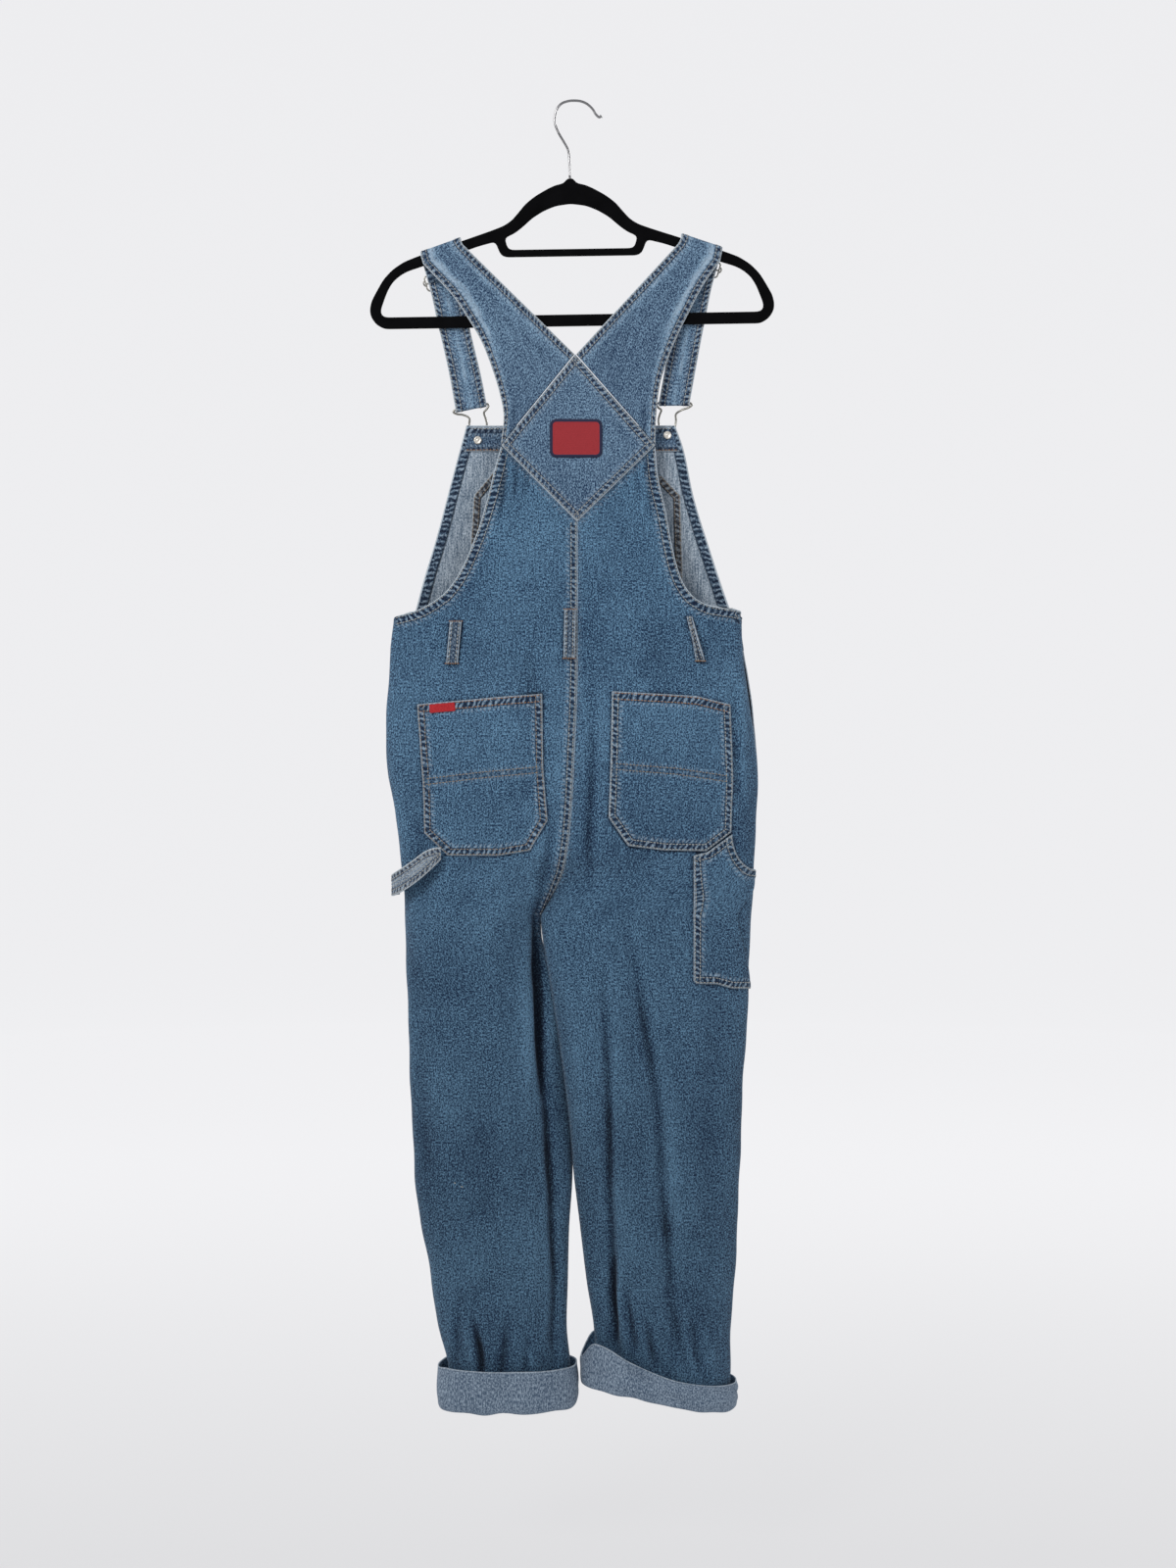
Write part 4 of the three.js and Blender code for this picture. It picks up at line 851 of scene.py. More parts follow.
def denim(name, body, bright, dark, fleck=1.0, slub=0.5, hems=True, falls=1.0, crest=2.4):
    """Washed cotton twill. body is its colour, bright that of its worn parts, dark the unfaded.

    falls is how much of its light the cloth keeps at the bottom of the legs, and crest the
    relief in mm from which a fold's ridge is worn pale.
    """
    n = Nodes(name)
    cloth = n.attribute("cloth")
    away, run, width = n.split(n.attribute("hem"))
    pale, rope, relief = n.split(n.attribute("wear_and_shade"))

    grain = n.noise(n.scaled(cloth, 0.74, 0.46, 1), 1.0, 3.0, 0.75)
    slubs = n.noise(n.scaled(cloth, 0.60, 0.045, 1), 1.0, 3.0, 0.6)
    faded = n.noise(n.scaled(cloth, 0.014, 0.0075, 1), 1.0, 2.0, 0.5)
    twill = n.add("ShaderNodeTexWave", {"Vector": n.scaled(cloth, 1.0, 1.0, 0), "Scale": 0.155,
                                        "Distortion": 1.2, "Detail": 1.0, "Detail Scale": 1.4},
                  wave_type="BANDS", bands_direction="DIAGONAL", wave_profile="SIN")

    light = n.vary(grain, fleck * 5.4, BODY_LIGHT)
    light = n.vary(slubs, slub * 2.1, light)
    light = n.vary(faded, 0.42, light)
    # Ridges lighten and hollows darken by their relief: a painted highlight and painted shade.
    light = n.maths("MULTIPLY_ADD", relief, 0.075, light)
    colour = n.blend(n.maths("ADD", light, 0.0, clamp=True), body, bright)
    worn = linear(168, 186, 202)
    colour = n.blend(n.ramp(relief, crest, 2.5 * crest, 0.0, 0.55), colour, worn)
    # Darker towards the bottom of the legs: partly the cloth's own tone, partly painted shade where the light
    # falls off.
    if falls < 1:
        kept = n.ramp(n.split(cloth)[1], -1300, -620, falls, 1.0)
        colour = n.blend(1.0, colour, kept, "MULTIPLY")
    # Painted shade: the colour darkens in creases and hollows by how deep they lie.
    shade = n.ramp(relief, -6.0, -0.5, 0.30, 1.0)
    colour = n.blend(1.0, colour, shade, "MULTIPLY")

    raised = n.maths("MULTIPLY_ADD", grain, 0.3, n.times(twill, 0.28))
    if hems:
        past = n.maths("SUBTRACT", away, width)
        band = n.times(n.ramp(past, 0.7, -0.7), rope)
        broken = n.noise(n.scaled(cloth, 0.30, 0.30, 1), 1.0, 2.0, 0.65)
        wander = n.noise(n.add("ShaderNodeCombineXYZ", {0: run, 1: away, 2: pale}), 0.07, 2.0, 0.6)
        phase = n.maths("MULTIPLY_ADD", wander, 12.0, n.maths("MULTIPLY_ADD", away, 0.4, run))
        bars = n.maths("SINE", n.times(phase, 2 * math.pi / ROPE_PITCH))
        bars = n.vary(broken, 5.0, bars)
        # Between a hem's two rows of stitches the cloth ropes: unfaded hollows, worn ridges.
        channel = n.times(n.ramp(away, 0.6, 2.2), n.ramp(past, -0.4, -1.8))
        colour = n.tint(band, 0.28, colour, dark)
        navy = n.times(n.ramp(bars, 0.35, -0.85), n.times(band, channel))
        colour = n.tint(navy, 0.85, colour, dark)
        white = n.times(n.ramp(bars, 0.15, 1.5), band)
        colour = n.tint(white, 0.56, colour, worn)
        # The folded edge wears nearly white, and the cloth beside the stitching puckers pale.
        fray = n.times(grain, 1.3)
        rim = n.times(n.ramp(n.maths("SUBTRACT", away, fray), 0.7, -0.1), pale)
        colour = n.tint(rim, 0.85, colour, linear(196, 206, 214))
        beside = n.times(n.ramp(past, 5.5, 1.4), n.ramp(past, -0.3, 0.8))
        puckers = n.maths("SINE", n.times(phase, 2 * math.pi / (ROPE_PITCH * 0.8)))
        puckers = n.vary(broken, 3.6, puckers)
        spots = n.times(n.ramp(puckers, -0.2, 1.3), n.times(beside, rope))
        colour = n.tint(spots, 0.5, colour, worn)
        # Just inside a hem's inner row of stitches the colour darkens: painted shadow in the stitching's
        # groove.
        groove = n.times(n.times(n.ramp(past, -2.2, -0.5), n.ramp(past, 1.0, -0.5)), rope)
        colour = n.tint(groove, 0.5, colour, dark)
        raised = n.maths("MULTIPLY_ADD", n.times(bars, band), 0.4, raised)
        raised = n.maths("MULTIPLY_ADD", groove, -0.7, raised)
    return n.finish(Base_Color=colour, Roughness=0.92, Normal=n.bump(raised, 0.0006, 0.32),
                    Specular_IOR_Level=0.15, Sheen_Weight=0.06, Sheen_Roughness=0.6)


DENIM = denim("washed_denim", linear(8, 32, 62), linear(110, 151, 182), linear(8, 20, 44), falls=0.68,
              crest=4.4)
STRAP_DENIM = denim("strap_denim", linear(16, 41, 72), linear(130, 161, 187), linear(10, 24, 50))
LOOSE_DENIM = denim("loop_denim", linear(18, 42, 72), linear(132, 162, 186), linear(8, 18, 40))
DARK_DENIM = denim("dark_denim", linear(16, 36, 64), linear(120, 148, 174), linear(8, 18, 40))
WRONG_SIDE = denim("wrong_side", linear(66, 82, 100), linear(180, 190, 200), linear(30, 42, 62),
                   fleck=0.7, slub=0.7)
SEAM_CLOTH = denim("seam_backing", linear(58, 66, 78), linear(160, 160, 158), linear(34, 40, 52), fleck=0.7)
CUFF_CLOTH = denim("cuff_cloth", linear(60, 78, 99), linear(156, 172, 188), linear(34, 46, 66),
                   fleck=0.75, slub=0.4)


def thread_material(name, colour):
    """Matt sewing thread."""
    n = Nodes(name)
    place = n.place()
    fuzz = n.noise(place, 1400, 2.0, 0.6)
    tint = n.blend(n.ramp(fuzz, 0.3, 0.7), tuple(0.62 * c for c in colour[:3]) + (1,), colour)
    return n.finish(Base_Color=tint, Roughness=0.75, Normal=n.bump(fuzz, 0.0002, 0.5))


THREAD_LOOKS = {
    "pale": thread_material("pale_thread", linear(188, 188, 182)),
    "tan": thread_material("tan_thread", linear(164, 146, 126)),
    "orange": thread_material("orange_thread", linear(182, 134, 92)),
}


def velvet_material():
    """Black flock: almost no gloss."""
    n = Nodes("black_velvet")
    place = n.place()
    pile = n.noise(place, 1800, 3.0, 0.7)
    brushed = n.noise(place, 60, 2.0, 0.5)
    tint = n.blend(brushed, linear(4, 4, 5), linear(13, 13, 15))
    height = n.maths("MULTIPLY_ADD", brushed, 0.35, pile)
    return n.finish(Base_Color=tint, Roughness=1.0, Specular_IOR_Level=0.05, Sheen_Weight=0.03,
                    Sheen_Roughness=0.45, Normal=n.bump(height, 0.0004, 0.5))


def metal_material(name, colour, roughness, grime):
    """Worn plated metal; grime is how much of its light a dull place keeps."""
    n = Nodes(name)
    place = n.place()
    marks = n.noise(place, 420, 3.0, 0.65)
    dull = n.noise(place, 90, 2.0, 0.5)
    tint = n.blend(n.ramp(dull, 0.4, 0.75), colour, tuple(grime * c for c in colour[:3]) + (1,))
    rough = n.ramp(marks, 0.3, 0.8, roughness, roughness + 0.22)
    return n.finish(Base_Color=tint, Metallic=1.0, Roughness=rough, Normal=n.bump(marks, 0.0001, 0.35))


def patch_material():
    """Red woven cloth with a satin-stitched navy border, which follows the patch's edge."""
    n = Nodes("red_patch")
    cloth = n.attribute("cloth")
    away, run, _ = n.split(n.attribute("hem"))
    weave = n.add("ShaderNodeTexWave", {"Vector": cloth, "Scale": 0.42, "Distortion": 1.5},
                  wave_type="BANDS", bands_direction="Y")
    grain = n.noise(cloth, 0.9, 3.0, 0.7)
    red = n.blend(n.maths("MULTIPLY_ADD", grain, 0.6, n.times(weave, 0.4)),
                  linear(112, 22, 32), linear(196, 58, 64))
    border = n.ramp(away, 3.4, 2.9)
    satin = n.maths("SINE", n.times(run, 2 * math.pi / 0.9))
    navy = n.blend(n.ramp(satin, -1.0, 1.0), linear(16, 18, 40), linear(40, 44, 78))
    colour = n.blend(border, red, navy)
    height = n.blend(border, weave, n.maths("MULTIPLY_ADD", satin, 0.3, 1.4))
    return n.finish(Base_Color=colour, Roughness=0.7, Specular_IOR_Level=0.25, Sheen_Weight=0.15,
                    Normal=n.bump(height, 0.0004, 0.7))


VELVET = velvet_material()
NICKEL = metal_material("nickel", linear(158, 156, 150), 0.24, 0.6)
CHROME = metal_material("chrome_wire", linear(150, 150, 152), 0.14, 0.7)
WHITE_METAL = metal_material("rivet_metal", linear(226, 222, 214), 0.38, 0.85)
PATCH_CLOTH = patch_material()


# ---- pieces of cloth ------------------------------------------------------------------------------
def stand_for(piece, node):
    """Puts a piece in its node's place."""
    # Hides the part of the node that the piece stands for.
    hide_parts(node)


def replace(piece, node, area=None):
    """Hides the part of the node that a piece of cloth stands for; area (in square metres) is not used."""
    stand_for(piece, node)


SEEDS = iter(range(3, 400, 7))
DENIM_LOOKS = [DENIM, WRONG_SIDE, DENIM]


def panel_rows(layer):
    """The heights of a panel's rows, closer together where the armhole turns."""
    fine = np.arange(-545.0, -577.0, -1.25)
    if layer == "front":
        return np.append(np.arange(WAIST - WAISTBAND - LIFT, LEG_END, -4.0), LEG_END)
    top = np.arange(-386.0, -545.0, -3.0)
    return np.concatenate([top, fine, np.arange(-577.0, LEG_END, -4.0), [LEG_END]])


def back_limits(lattice, side, z):
    """Where a back panel starts and ends across, at each height, on the flat."""
    inner, outer = [], []
    for height in z:
        end = float(lattice.ends(height))
        if height > WAIST:
            end = min(end, flat_place(lattice, float(ARMHOLE[side](height)), height)[0])
        start = 0.0
        if height > YOKE["bottom"][1]:
            s = (height - YOKE["bottom"][1]) / (YOKE[side][1] - YOKE["bottom"][1])
            start = flat_place(lattice, mix(YOKE["bottom"][0], YOKE[side][0], s), height)[0]
        inner.append(start)
        outer.append(max(end, start + 1.0))
    return np.array(inner), np.array(outer)


def panel_hems(layer, side, z, inner, outer):
    """A panel's hems and seams: its armhole, yoke, middle, leg and side edges."""
    left, right = np.stack([inner, z], 1), np.stack([outer, z], 1)
    crotch = z > CROTCH
    felled = side == "left"      # the middle seams' stitched side
    middle = lambda part: Hem(part, 8.0 if felled else 1.8, 0.3 if felled else 0.5, 0.95 if felled else 0.2,
                              (1.6, -1.5) if felled else (), high=0.8 if felled else 0.3)
    if layer == "back":
        top = z >= WAIST
        under_yoke = z > YOKE["bottom"][1]
        return [
            Hem(right[top], 10.5, 0.85, 1.0, (2.0, -1.5), high=0.9),
            Hem(left[under_yoke], 3.0, 0.1, 0.5, (), high=0.0),
            middle(left[~under_yoke & crotch]),
            Hem(left[~crotch], 5.0, 0.15, 0.35, (), high=0.4),
            Hem(right[~top], 1.8, 0.35, 0.2, (), high=0.25),
        ]
    opening = (z < -590) & (z > -722)
    return [
        middle(left[crotch]),
        Hem(left[~crotch], 2.2, 0.2, 0.2, (), high=0.2),
        Hem(right[opening], 6.0, 0.7, 1.0, (), high=0.3),
        Hem(right[z <= -722], 1.8, 0.35, 0.2, (), high=0.25),
    ]


LEG_FREE = -1370.0  # below this the legs' ends follow their tilted turn-ups
FLAT_CUT = {  # each panel's cut, as (width, length, area) in metres
    "back_left": (0.236, 1.10, 0.218), "back_right": (0.236, 1.10, 0.218),
    "front_left": (0.236, 0.86, 0.178), "front_right": (0.236, 0.86, 0.178),
}
PANEL_COLUMNS = 78
for name, lattice in PANELS.items():
    layer, side = name.split("_")
    z = panel_rows(layer)
    if layer == "back":
        inner, outer = back_limits(lattice, side, z)
    else:
        inner, outer = np.zeros(len(z)), lattice.ends(z)
    hems = panel_hems(layer, side, z, inner, outer)
    outline = np.concatenate([np.stack([inner, z], 1), np.stack([outer, z], 1)[::-1]])
    across = np.linspace(0, 1, PANEL_COLUMNS)
    across = mix(across, smooth(0, 1, across), 0.35)
    flat = np.stack([inner[:, None] + (outer - inner)[:, None] * across,
                     np.repeat(z[:, None], len(across), 1)], -1)
    marks = hem_marks(flat, hems)
    end_fade = np.where(z[:, None] > WAIST, 1.0, smooth(0, 3, outer[:, None] - flat[..., 0]))
    if layer == "front":
        end_fade = end_fade * smooth(0, 3, flat[..., 0])
    points, normals = lattice.place(flat, hem_rise(marks) * end_fade)
    seam = lattice.read(lattice.seam, flat)
    out = OUTWARD[layer]
    points[..., 1] = seam + out * np.maximum(0, out * (points[..., 1] - seam))
    # The leg's end stays inside its turn-up, which is tilted.
    low = np.clip((LEG_FREE - points[..., 2]) / (LEG_FREE - LEG_END), 0, 1)
    points[..., 2] += low * (CUFF_LOW[side](points[..., 0]) + 6 - LEG_END)
    # The relief that the material reads: the panel's own, plus painted shade round its pockets and belt
    # loops.
    relief = lattice.read(lattice.relief, flat) + painted_outline_shade(name, flat)
    piece = shell(f"cloth_{name}", points, (0, out, 0), CLOTH, DENIM_LOOKS,
                  cloth_marks(flat, marks, relief, next(SEEDS)), seam=seam, outward=out)
    wide, long, area = FLAT_CUT[name]
    replace(piece, name, area)
    sew_hems(lattice, hems, outline, lambda line, h=hems: hem_rise(hem_marks(line, h)))


# ---- pieces cut to an outline and laid on a surface -----------------------------------------------
def fill(outline, step):
    """Points and triangles that fill an outline, with its own points first."""
    edge = densify(outline, step)
    low, high = edge.min(0), edge.max(0)
    rows = np.arange(low[1] + step / 2, high[1], step * 0.87)
    grid = [(x, z) for k, z in enumerate(rows)
            for x in np.arange(low[0] + (k % 2) * step / 2, high[0], step)]
    grid = np.array(grid)
    grid = grid[inside(edge, grid)]
    away, _ = nearest(grid, looped(edge))
    grid = grid[away > 0.55 * step]
    points = np.vstack([edge, grid])
    count = len(edge)
    found = delaunay_2d_cdt([Vector(p) for p in points], [(k, (k + 1) % count) for k in range(count)],
                            [], 1, 1e-6)
    return np.array([tuple(v) for v in found[0]]), [tuple(f) for f in found[2]]


def border(faces):
    """The edges that only one face has, in that face's direction."""
    seen = {}
    for face in faces:
        for a, b in zip(face, face[1:] + face[:1]):
            seen[(a, b)] = (b, a) not in seen
            if (b, a) in seen:
                seen[(b, a)] = False
    return [edge for edge, alone in seen.items() if alone]


def cut_piece(name, surface, outline, hems, looks, lift, thickness=CLOTH, step=2.4, swell=None):
    """Cloth cut to an outline on the flat and laid on a surface, as a closed wall."""
    flat, faces = fill(outline, step)
    marks = hem_marks(flat, hems)
    gap = np.zeros(len(flat)) if swell is None else swell(flat)

    def height(line):
        more = 0 if swell is None else swell(line)
        return lift + thickness + more + hem_rise(hem_marks(line, hems))

    top = surface.place(flat, height(flat))[0]
    low = surface.place(flat, lift + gap)[0]
    count = len(flat)
    back = [tuple(v + count for v in reversed(face)) for face in faces]
    rim = [(b, a, a + count, b + count) for a, b in border(faces)]
    which = [0] * len(faces) + [1] * len(faces) + [2] * len(rim)
    relief = surface.read(surface.relief, flat)
    attributes = {key: np.concatenate([v, v])
                  for key, v in cloth_marks(flat, marks, relief, next(SEEDS)).items()}
    piece = make(name, np.vstack([top, low]), faces + back + rim, looks, which, attributes)
    sew_hems(surface, hems, densify(outline, step), height)
    return piece, height


def sheet_lattice(layer, x, z, creases, shift, strength=1.0):
    """A surface over (x, z) at the depth of the body, for the yoke and the bib."""
    xs, zs = np.meshgrid(x, z)
    points = np.stack([xs, body_y(layer, xs, zs), zs], -1)
    lattice = Lattice(x, z, points, (0, OUTWARD[layer], 0))
    rise = crease_field(lattice, creases, lambda _, px, pz: np.array([px, pz], float))
    rise += strength * (0.55 * BROAD(xs + shift, zs) + 0.14 * FINE(xs + shift, zs))
    lattice.push(rise)
    return lattice


# The yoke.
yoke_surface = sheet_lattice("back", np.arange(-110, 116, 2.0), np.arange(-262, -490, -2.0),
                             [([(-40, -380), (0, -400), (40, -380)], 0.5, 26),
                              ([(-20, -320), (-30, -350), (-60, -375)], -0.5, 9),
                              ([(22, -322), (34, -350), (62, -374)], -0.5, 9)], 60, 0.5)
corner = {key: np.array(value, float) for key, value in YOKE.items()}
yoke_outline = [corner["top"], corner["right"], corner["bottom"], corner["left"]]
yoke_hems = [
    Hem(resample([corner["left"], corner["top"], corner["right"]], HEM_STEP), 8.6, 0.4, 1.0, (2.0, -1.4),
        high=0.55),
    Hem(resample([corner["left"], corner["bottom"], corner["right"]], HEM_STEP), 8.6, 0.8, 0.8, (2.0, -1.4),
        high=0.75),
]
yoke_piece, _ = cut_piece("cloth_yoke", yoke_surface, yoke_outline, yoke_hems,
                          [STRAP_DENIM, WRONG_SIDE, STRAP_DENIM], -0.4)
replace(yoke_piece, "yoke", 0.0162)


# The bib, its facing and its pocket.
bib_surface = sheet_lattice("front", np.arange(-200, 200, 2.5), np.arange(-350, -582, -2.5),
                            [([(-60, -380), (-70, -470), (-110, -560)], -1.0, 12),
                             ([(60, -380), (76, -470), (110, -560)], -1.0, 12),
                             ([(-140, -450), (-120, -520), (-130, -570)], 1.0, 10),
                             ([(138, -450), (122, -520), (130, -570)], 1.0, 10),
                             ([(-10, -560), (30, -540), (80, -550)], -0.8, 10)], 200)
BIB_TOP = -359.0


def bib_edges(heights, inset=0):
    """The bib's left and right edges at those heights, moved inwards."""
    return [np.stack([BIB_SIDE[side](heights) - SIDE[side] * inset, heights], 1) for side in SIDE]


bib_left, bib_right = bib_edges(np.append(np.arange(BIB_TOP, WAIST, -4.0), WAIST))
bib_outline = np.vstack([bib_left, bib_right[::-1]])
bib_hems = [Hem(edge, 11.0, 1.0, 1.0, (2.0, -1.6), high=0.7) for edge in (bib_left, bib_right)]
bib_hems += [Hem(resample([bib_left[0], bib_right[0]], 3), 13.0, 0.9, 0.9, (2.2, -1.6), high=0.6)]
BIB_WRONG = denim("bib_wrong_side", linear(84, 102, 120), linear(196, 208, 220), linear(24, 40, 66),
                  fleck=0.6, slub=0.9)
bib_piece, _ = cut_piece("cloth_bib", bib_surface, bib_outline, bib_hems,
                         [DENIM, BIB_WRONG, DENIM], -CLOTH, step=3.0)
replace(bib_piece, "bib", 0.066)


class Back:
    """The other side of a surface, so that pieces can lie inside the garment."""

    def __init__(self, surface):
        self.surface, self.relief, self.read = surface, surface.relief, surface.read

    def place(self, flat, above=0.0):
        points, normals = self.surface.place(flat, -np.asarray(above))
        return points, -normals


bib_inside = Back(bib_surface)
facing_left, facing_right = bib_edges(np.array([-361.0, -374, -388]), inset=5)
facing_outline = np.vstack([facing_left, facing_right[::-1]])
facing_low = resample([facing_left[-1], facing_right[-1]], 3)
facing_piece, _ = cut_piece("cloth_bib_facing", bib_inside, facing_outline,
                            [Hem(facing_low, 4.5, 0.7, 0.9, (1.6,), "orange", 0.3),
                             Hem(resample([facing_left[0], facing_right[0]], 3), 7.0, 0.7, 1.0, (2.0,))],
                            [DARK_DENIM] * 3, CLOTH + LIFT - 0.2, 1.0, 3.0)
replace(facing_piece, "bib_facing", 0.0066)


def tape(name, surface, edge, other, lift, thickness, hems, looks, seed):
    """A narrow strip of cloth on a surface, between two lines of the same count."""
    flat = edge[:, None] + (other - edge)[:, None] * np.linspace(0, 1, 7)[None, :, None]
    marks = hem_marks(flat, hems)
    top, normals = surface.place(flat, lift + thickness + 0.4 * hem_rise(marks))
    return shell(name, top, (0, 0, 0), thickness, looks, cloth_marks(flat, marks, 0 * marks[..., 0], seed),
                 normals=normals)


# Inside the bib, the side hems turn back and the pocket's seam shows through.
for side, edge in (("left", bib_left), ("right", bib_right)):
    edge = offset(resample(edge, 3), 0.4, bib_outline)
    strip = tape(f"cloth_bib_hem_{side}", bib_inside, edge, offset(edge, 11.0, bib_outline), CLOTH + 0.1, 0.7,
                 [Hem(edge, 11.0, 0.9, 1.0, (), high=0.3)], [LOOSE_DENIM] * 3, next(SEEDS))

BIB_POCKET = [(-90.5, -409), (97, -415), (118, -437), (121, -543), (104, -556), (-104, -556),
              (-121, -543), (-114, -437)]
pocket_edge = looped(np.array(BIB_POCKET, float))
bib_pocket, _ = cut_piece("cloth_bib_pocket", bib_surface, BIB_POCKET,
                          [Hem(resample(pocket_edge[0:2], HEM_STEP), 13.0, 0.7, 1.0, (2.0, -1.5), "tan"),
                           Hem(resample(pocket_edge[1:], HEM_STEP), 8.5, 0.5, 1.0, (1.8, -1.6), "tan")],
                          DENIM_LOOKS, 0.3, step=2.8,
                          swell=lambda p: 1.6 * smooth(-470, -412, p[..., 1]) * bell(p[..., 0], 70))
replace(bib_pocket, "bib_pocket", 0.0335)
seam_edge = resample(pocket_edge, HEM_STEP)
seam_outline = densify(BIB_POCKET, 2.4)
backing = tape("cloth_bib_pocket_seam", bib_inside, seam_edge,
               offset(seam_edge, 8.5, seam_outline), CLOTH, 0.5,
               [Hem(seam_edge, 8.5, 0.5, 1.0, (), high=0.4)], [SEAM_CLOTH] * 3, next(SEEDS))
for row in (1.8, 6.9):
    sew("tan", *bib_inside.place(offset(seam_edge, row, seam_outline), CLOTH + 0.75))

# The front waistband, round both halves of the front.
WAIST_COLUMNS = 70
band_rows = np.linspace(WAIST - 0.3, WAIST - WAISTBAND, 15)
halves = []
flats = []
for side in ("left", "right"):
    lattice = PANELS[f"front_{side}"]
    ends = lattice.ends(band_rows)
    u = np.linspace(0, 1, WAIST_COLUMNS)
    flat = np.stack([ends[:, None] * u, np.repeat(band_rows[:, None], WAIST_COLUMNS, 1)], -1)
    points, _ = lattice.place(flat, np.full(flat.shape[:2], 0.5) * smooth(0, 4, ends[:, None] - flat[..., 0]))
    halves.append(points)
    flats.append(flat * np.array([SIDE[side], 1]))
band_grid = np.concatenate([halves[0][:, ::-1][:, :-1], halves[1]], 1)
band_flat = np.concatenate([flats[0][:, ::-1][:, :-1], flats[1]], 1)
top_line, low_line = band_flat[0], band_flat[-1]
band_hems = [Hem(top_line, 8.0, 0.7, 0.8, (1.8, -1.6)), Hem(low_line, 8.0, 0.9, 0.8, (1.8, -1.6))]
band_marks = hem_marks(band_flat, band_hems)
band_normals = grid_normals(band_grid, (0, 1, 0))
band_grid = band_grid + band_normals * (0.5 * hem_rise(band_marks))[..., None]
band_grid[..., 1] = np.maximum(band_grid[..., 1], 0)
waistband = shell("cloth_waistband", band_grid, (0, 1, 0), 1.6, DENIM_LOOKS,
                  cloth_marks(band_flat, band_marks, np.zeros(band_flat.shape[:2]), next(SEEDS)),
                  seam=np.zeros(band_grid.shape[:2]), outward=1)
replace(waistband, "waistband")
band_outline = np.vstack([top_line, low_line[::-1]])
for hem in band_hems:
    for row in (1.8, 6.4):
        line = offset(resample(hem.line, HEM_STEP), row, band_outline)[2:-2]
        for side in ("left", "right"):
            use = line[line[:, 0] * SIDE[side] > 1]
            half = np.stack([np.abs(use[:, 0]), use[:, 1]], 1)
            sew("pale", *PANELS[f"front_{side}"].place(half, 1.2))

# ---- pockets on the back --------------------------------------------------------------------------
POCKET_FLAT = {"left": (0.146, 0.178, 0.0240), "right": (0.144, 0.176, 0.0238)}
for side in ("left", "right"):
    lattice = PANELS[f"back_{side}"]
    outline, mouth_line, around = POCKET_LINES[side]
    ends = lay_line(lattice, POCKET_ROWS[side])
    hems = [Hem(resample(mouth_line, HEM_STEP), 10.0, 0.5, 1.0, (1.8, -1.4), "orange"),
            Hem(resample(around, HEM_STEP), 8.5, 0.5, 1.0, (1.5, -1.5), "tan" if side == "left" else "pale"),
            Hem(resample(ends, HEM_STEP), 3.0, 0.0, 0.55, (), high=0.3)]
    top = mouth_line[:, 1].max()
    middle = outline[:, 0].mean()

    def swell(p, top=top, middle=middle):
        return 1.6 * smooth(top - 60, top - 4, p[..., 1]) * bell(p[..., 0] - middle, 42)

    pocket, height = cut_piece(f"cloth_back_pocket_{side}", lattice, outline, hems,
                               DENIM_LOOKS, 0.3, swell=swell)
    wide, long, area = POCKET_FLAT[side]
    replace(pocket, f"back_pocket_{side}", area)
    for shift in (-3.2, 3.2):
        row = resample(ends, HEM_STEP)[2:-2] + np.array([0, shift])
        sew("tan", *lattice.place(row, height(row) + 0.15))

tool_pocket, _ = cut_piece("cloth_tool_pocket", PANELS["back_right"], TOOL_OUTLINE,
                           [Hem(resample(line, HEM_STEP), 8.5, 0.42, 1.0, (1.6, -1.5))
                            for line in TOOL_LINES],
                           DENIM_LOOKS, 0.3)
replace(tool_pocket, "tool_pocket", 0.0125)


# ---- the patch and the woven tab --------------------------------------------------------------------
def rounded_box(x, z, width, height, radius, turn=0.0, steps=7):
    """The outline of a box with round corners, centred on (x, z) and turned."""
    outline = []
    for k, (sx, sz) in enumerate(((1, 1), (-1, 1), (-1, -1), (1, -1))):
        for a in np.linspace(k, k + 1, steps) * math.pi / 2:
            outline.append((sx * (width / 2 - radius) + radius * math.cos(a),
                            sz * (height / 2 - radius) + radius * math.sin(a)))
    c, s = math.cos(turn), math.sin(turn)
    return np.array([(x + u * c - v * s, z + u * s + v * c) for u, v in outline])


patch_outline = rounded_box(1, -377, 58, 43, 7)
patch, _ = cut_piece("cloth_patch", yoke_surface, patch_outline,
                     [Hem(resample(looped(patch_outline), 1.5), 3.2, 0, 0, (), high=0.35)],
                     [PATCH_CLOTH] * 3, 0.9, 1.2, 1.6)
replace(patch, "patch")

lattice = PANELS["back_left"]
tab_outline = np.array([flat_place(lattice, x, z) for x, z in rounded_box(-145.4, -676.6, 28, 9.5, 1, 0.08)])
RED_TAB = denim("red_tab", linear(132, 20, 28), linear(206, 62, 66), linear(80, 12, 20), fleck=0.3,
                slub=0.1, hems=False)
tab, _ = cut_piece("cloth_pocket_label", lattice, tab_outline,
                   [Hem(looped(tab_outline), 1.2, 0, 0, (), high=0.1)],
                   [RED_TAB] * 3, 3.2, 0.8, 1.4)
replace(tab, "pocket_label")


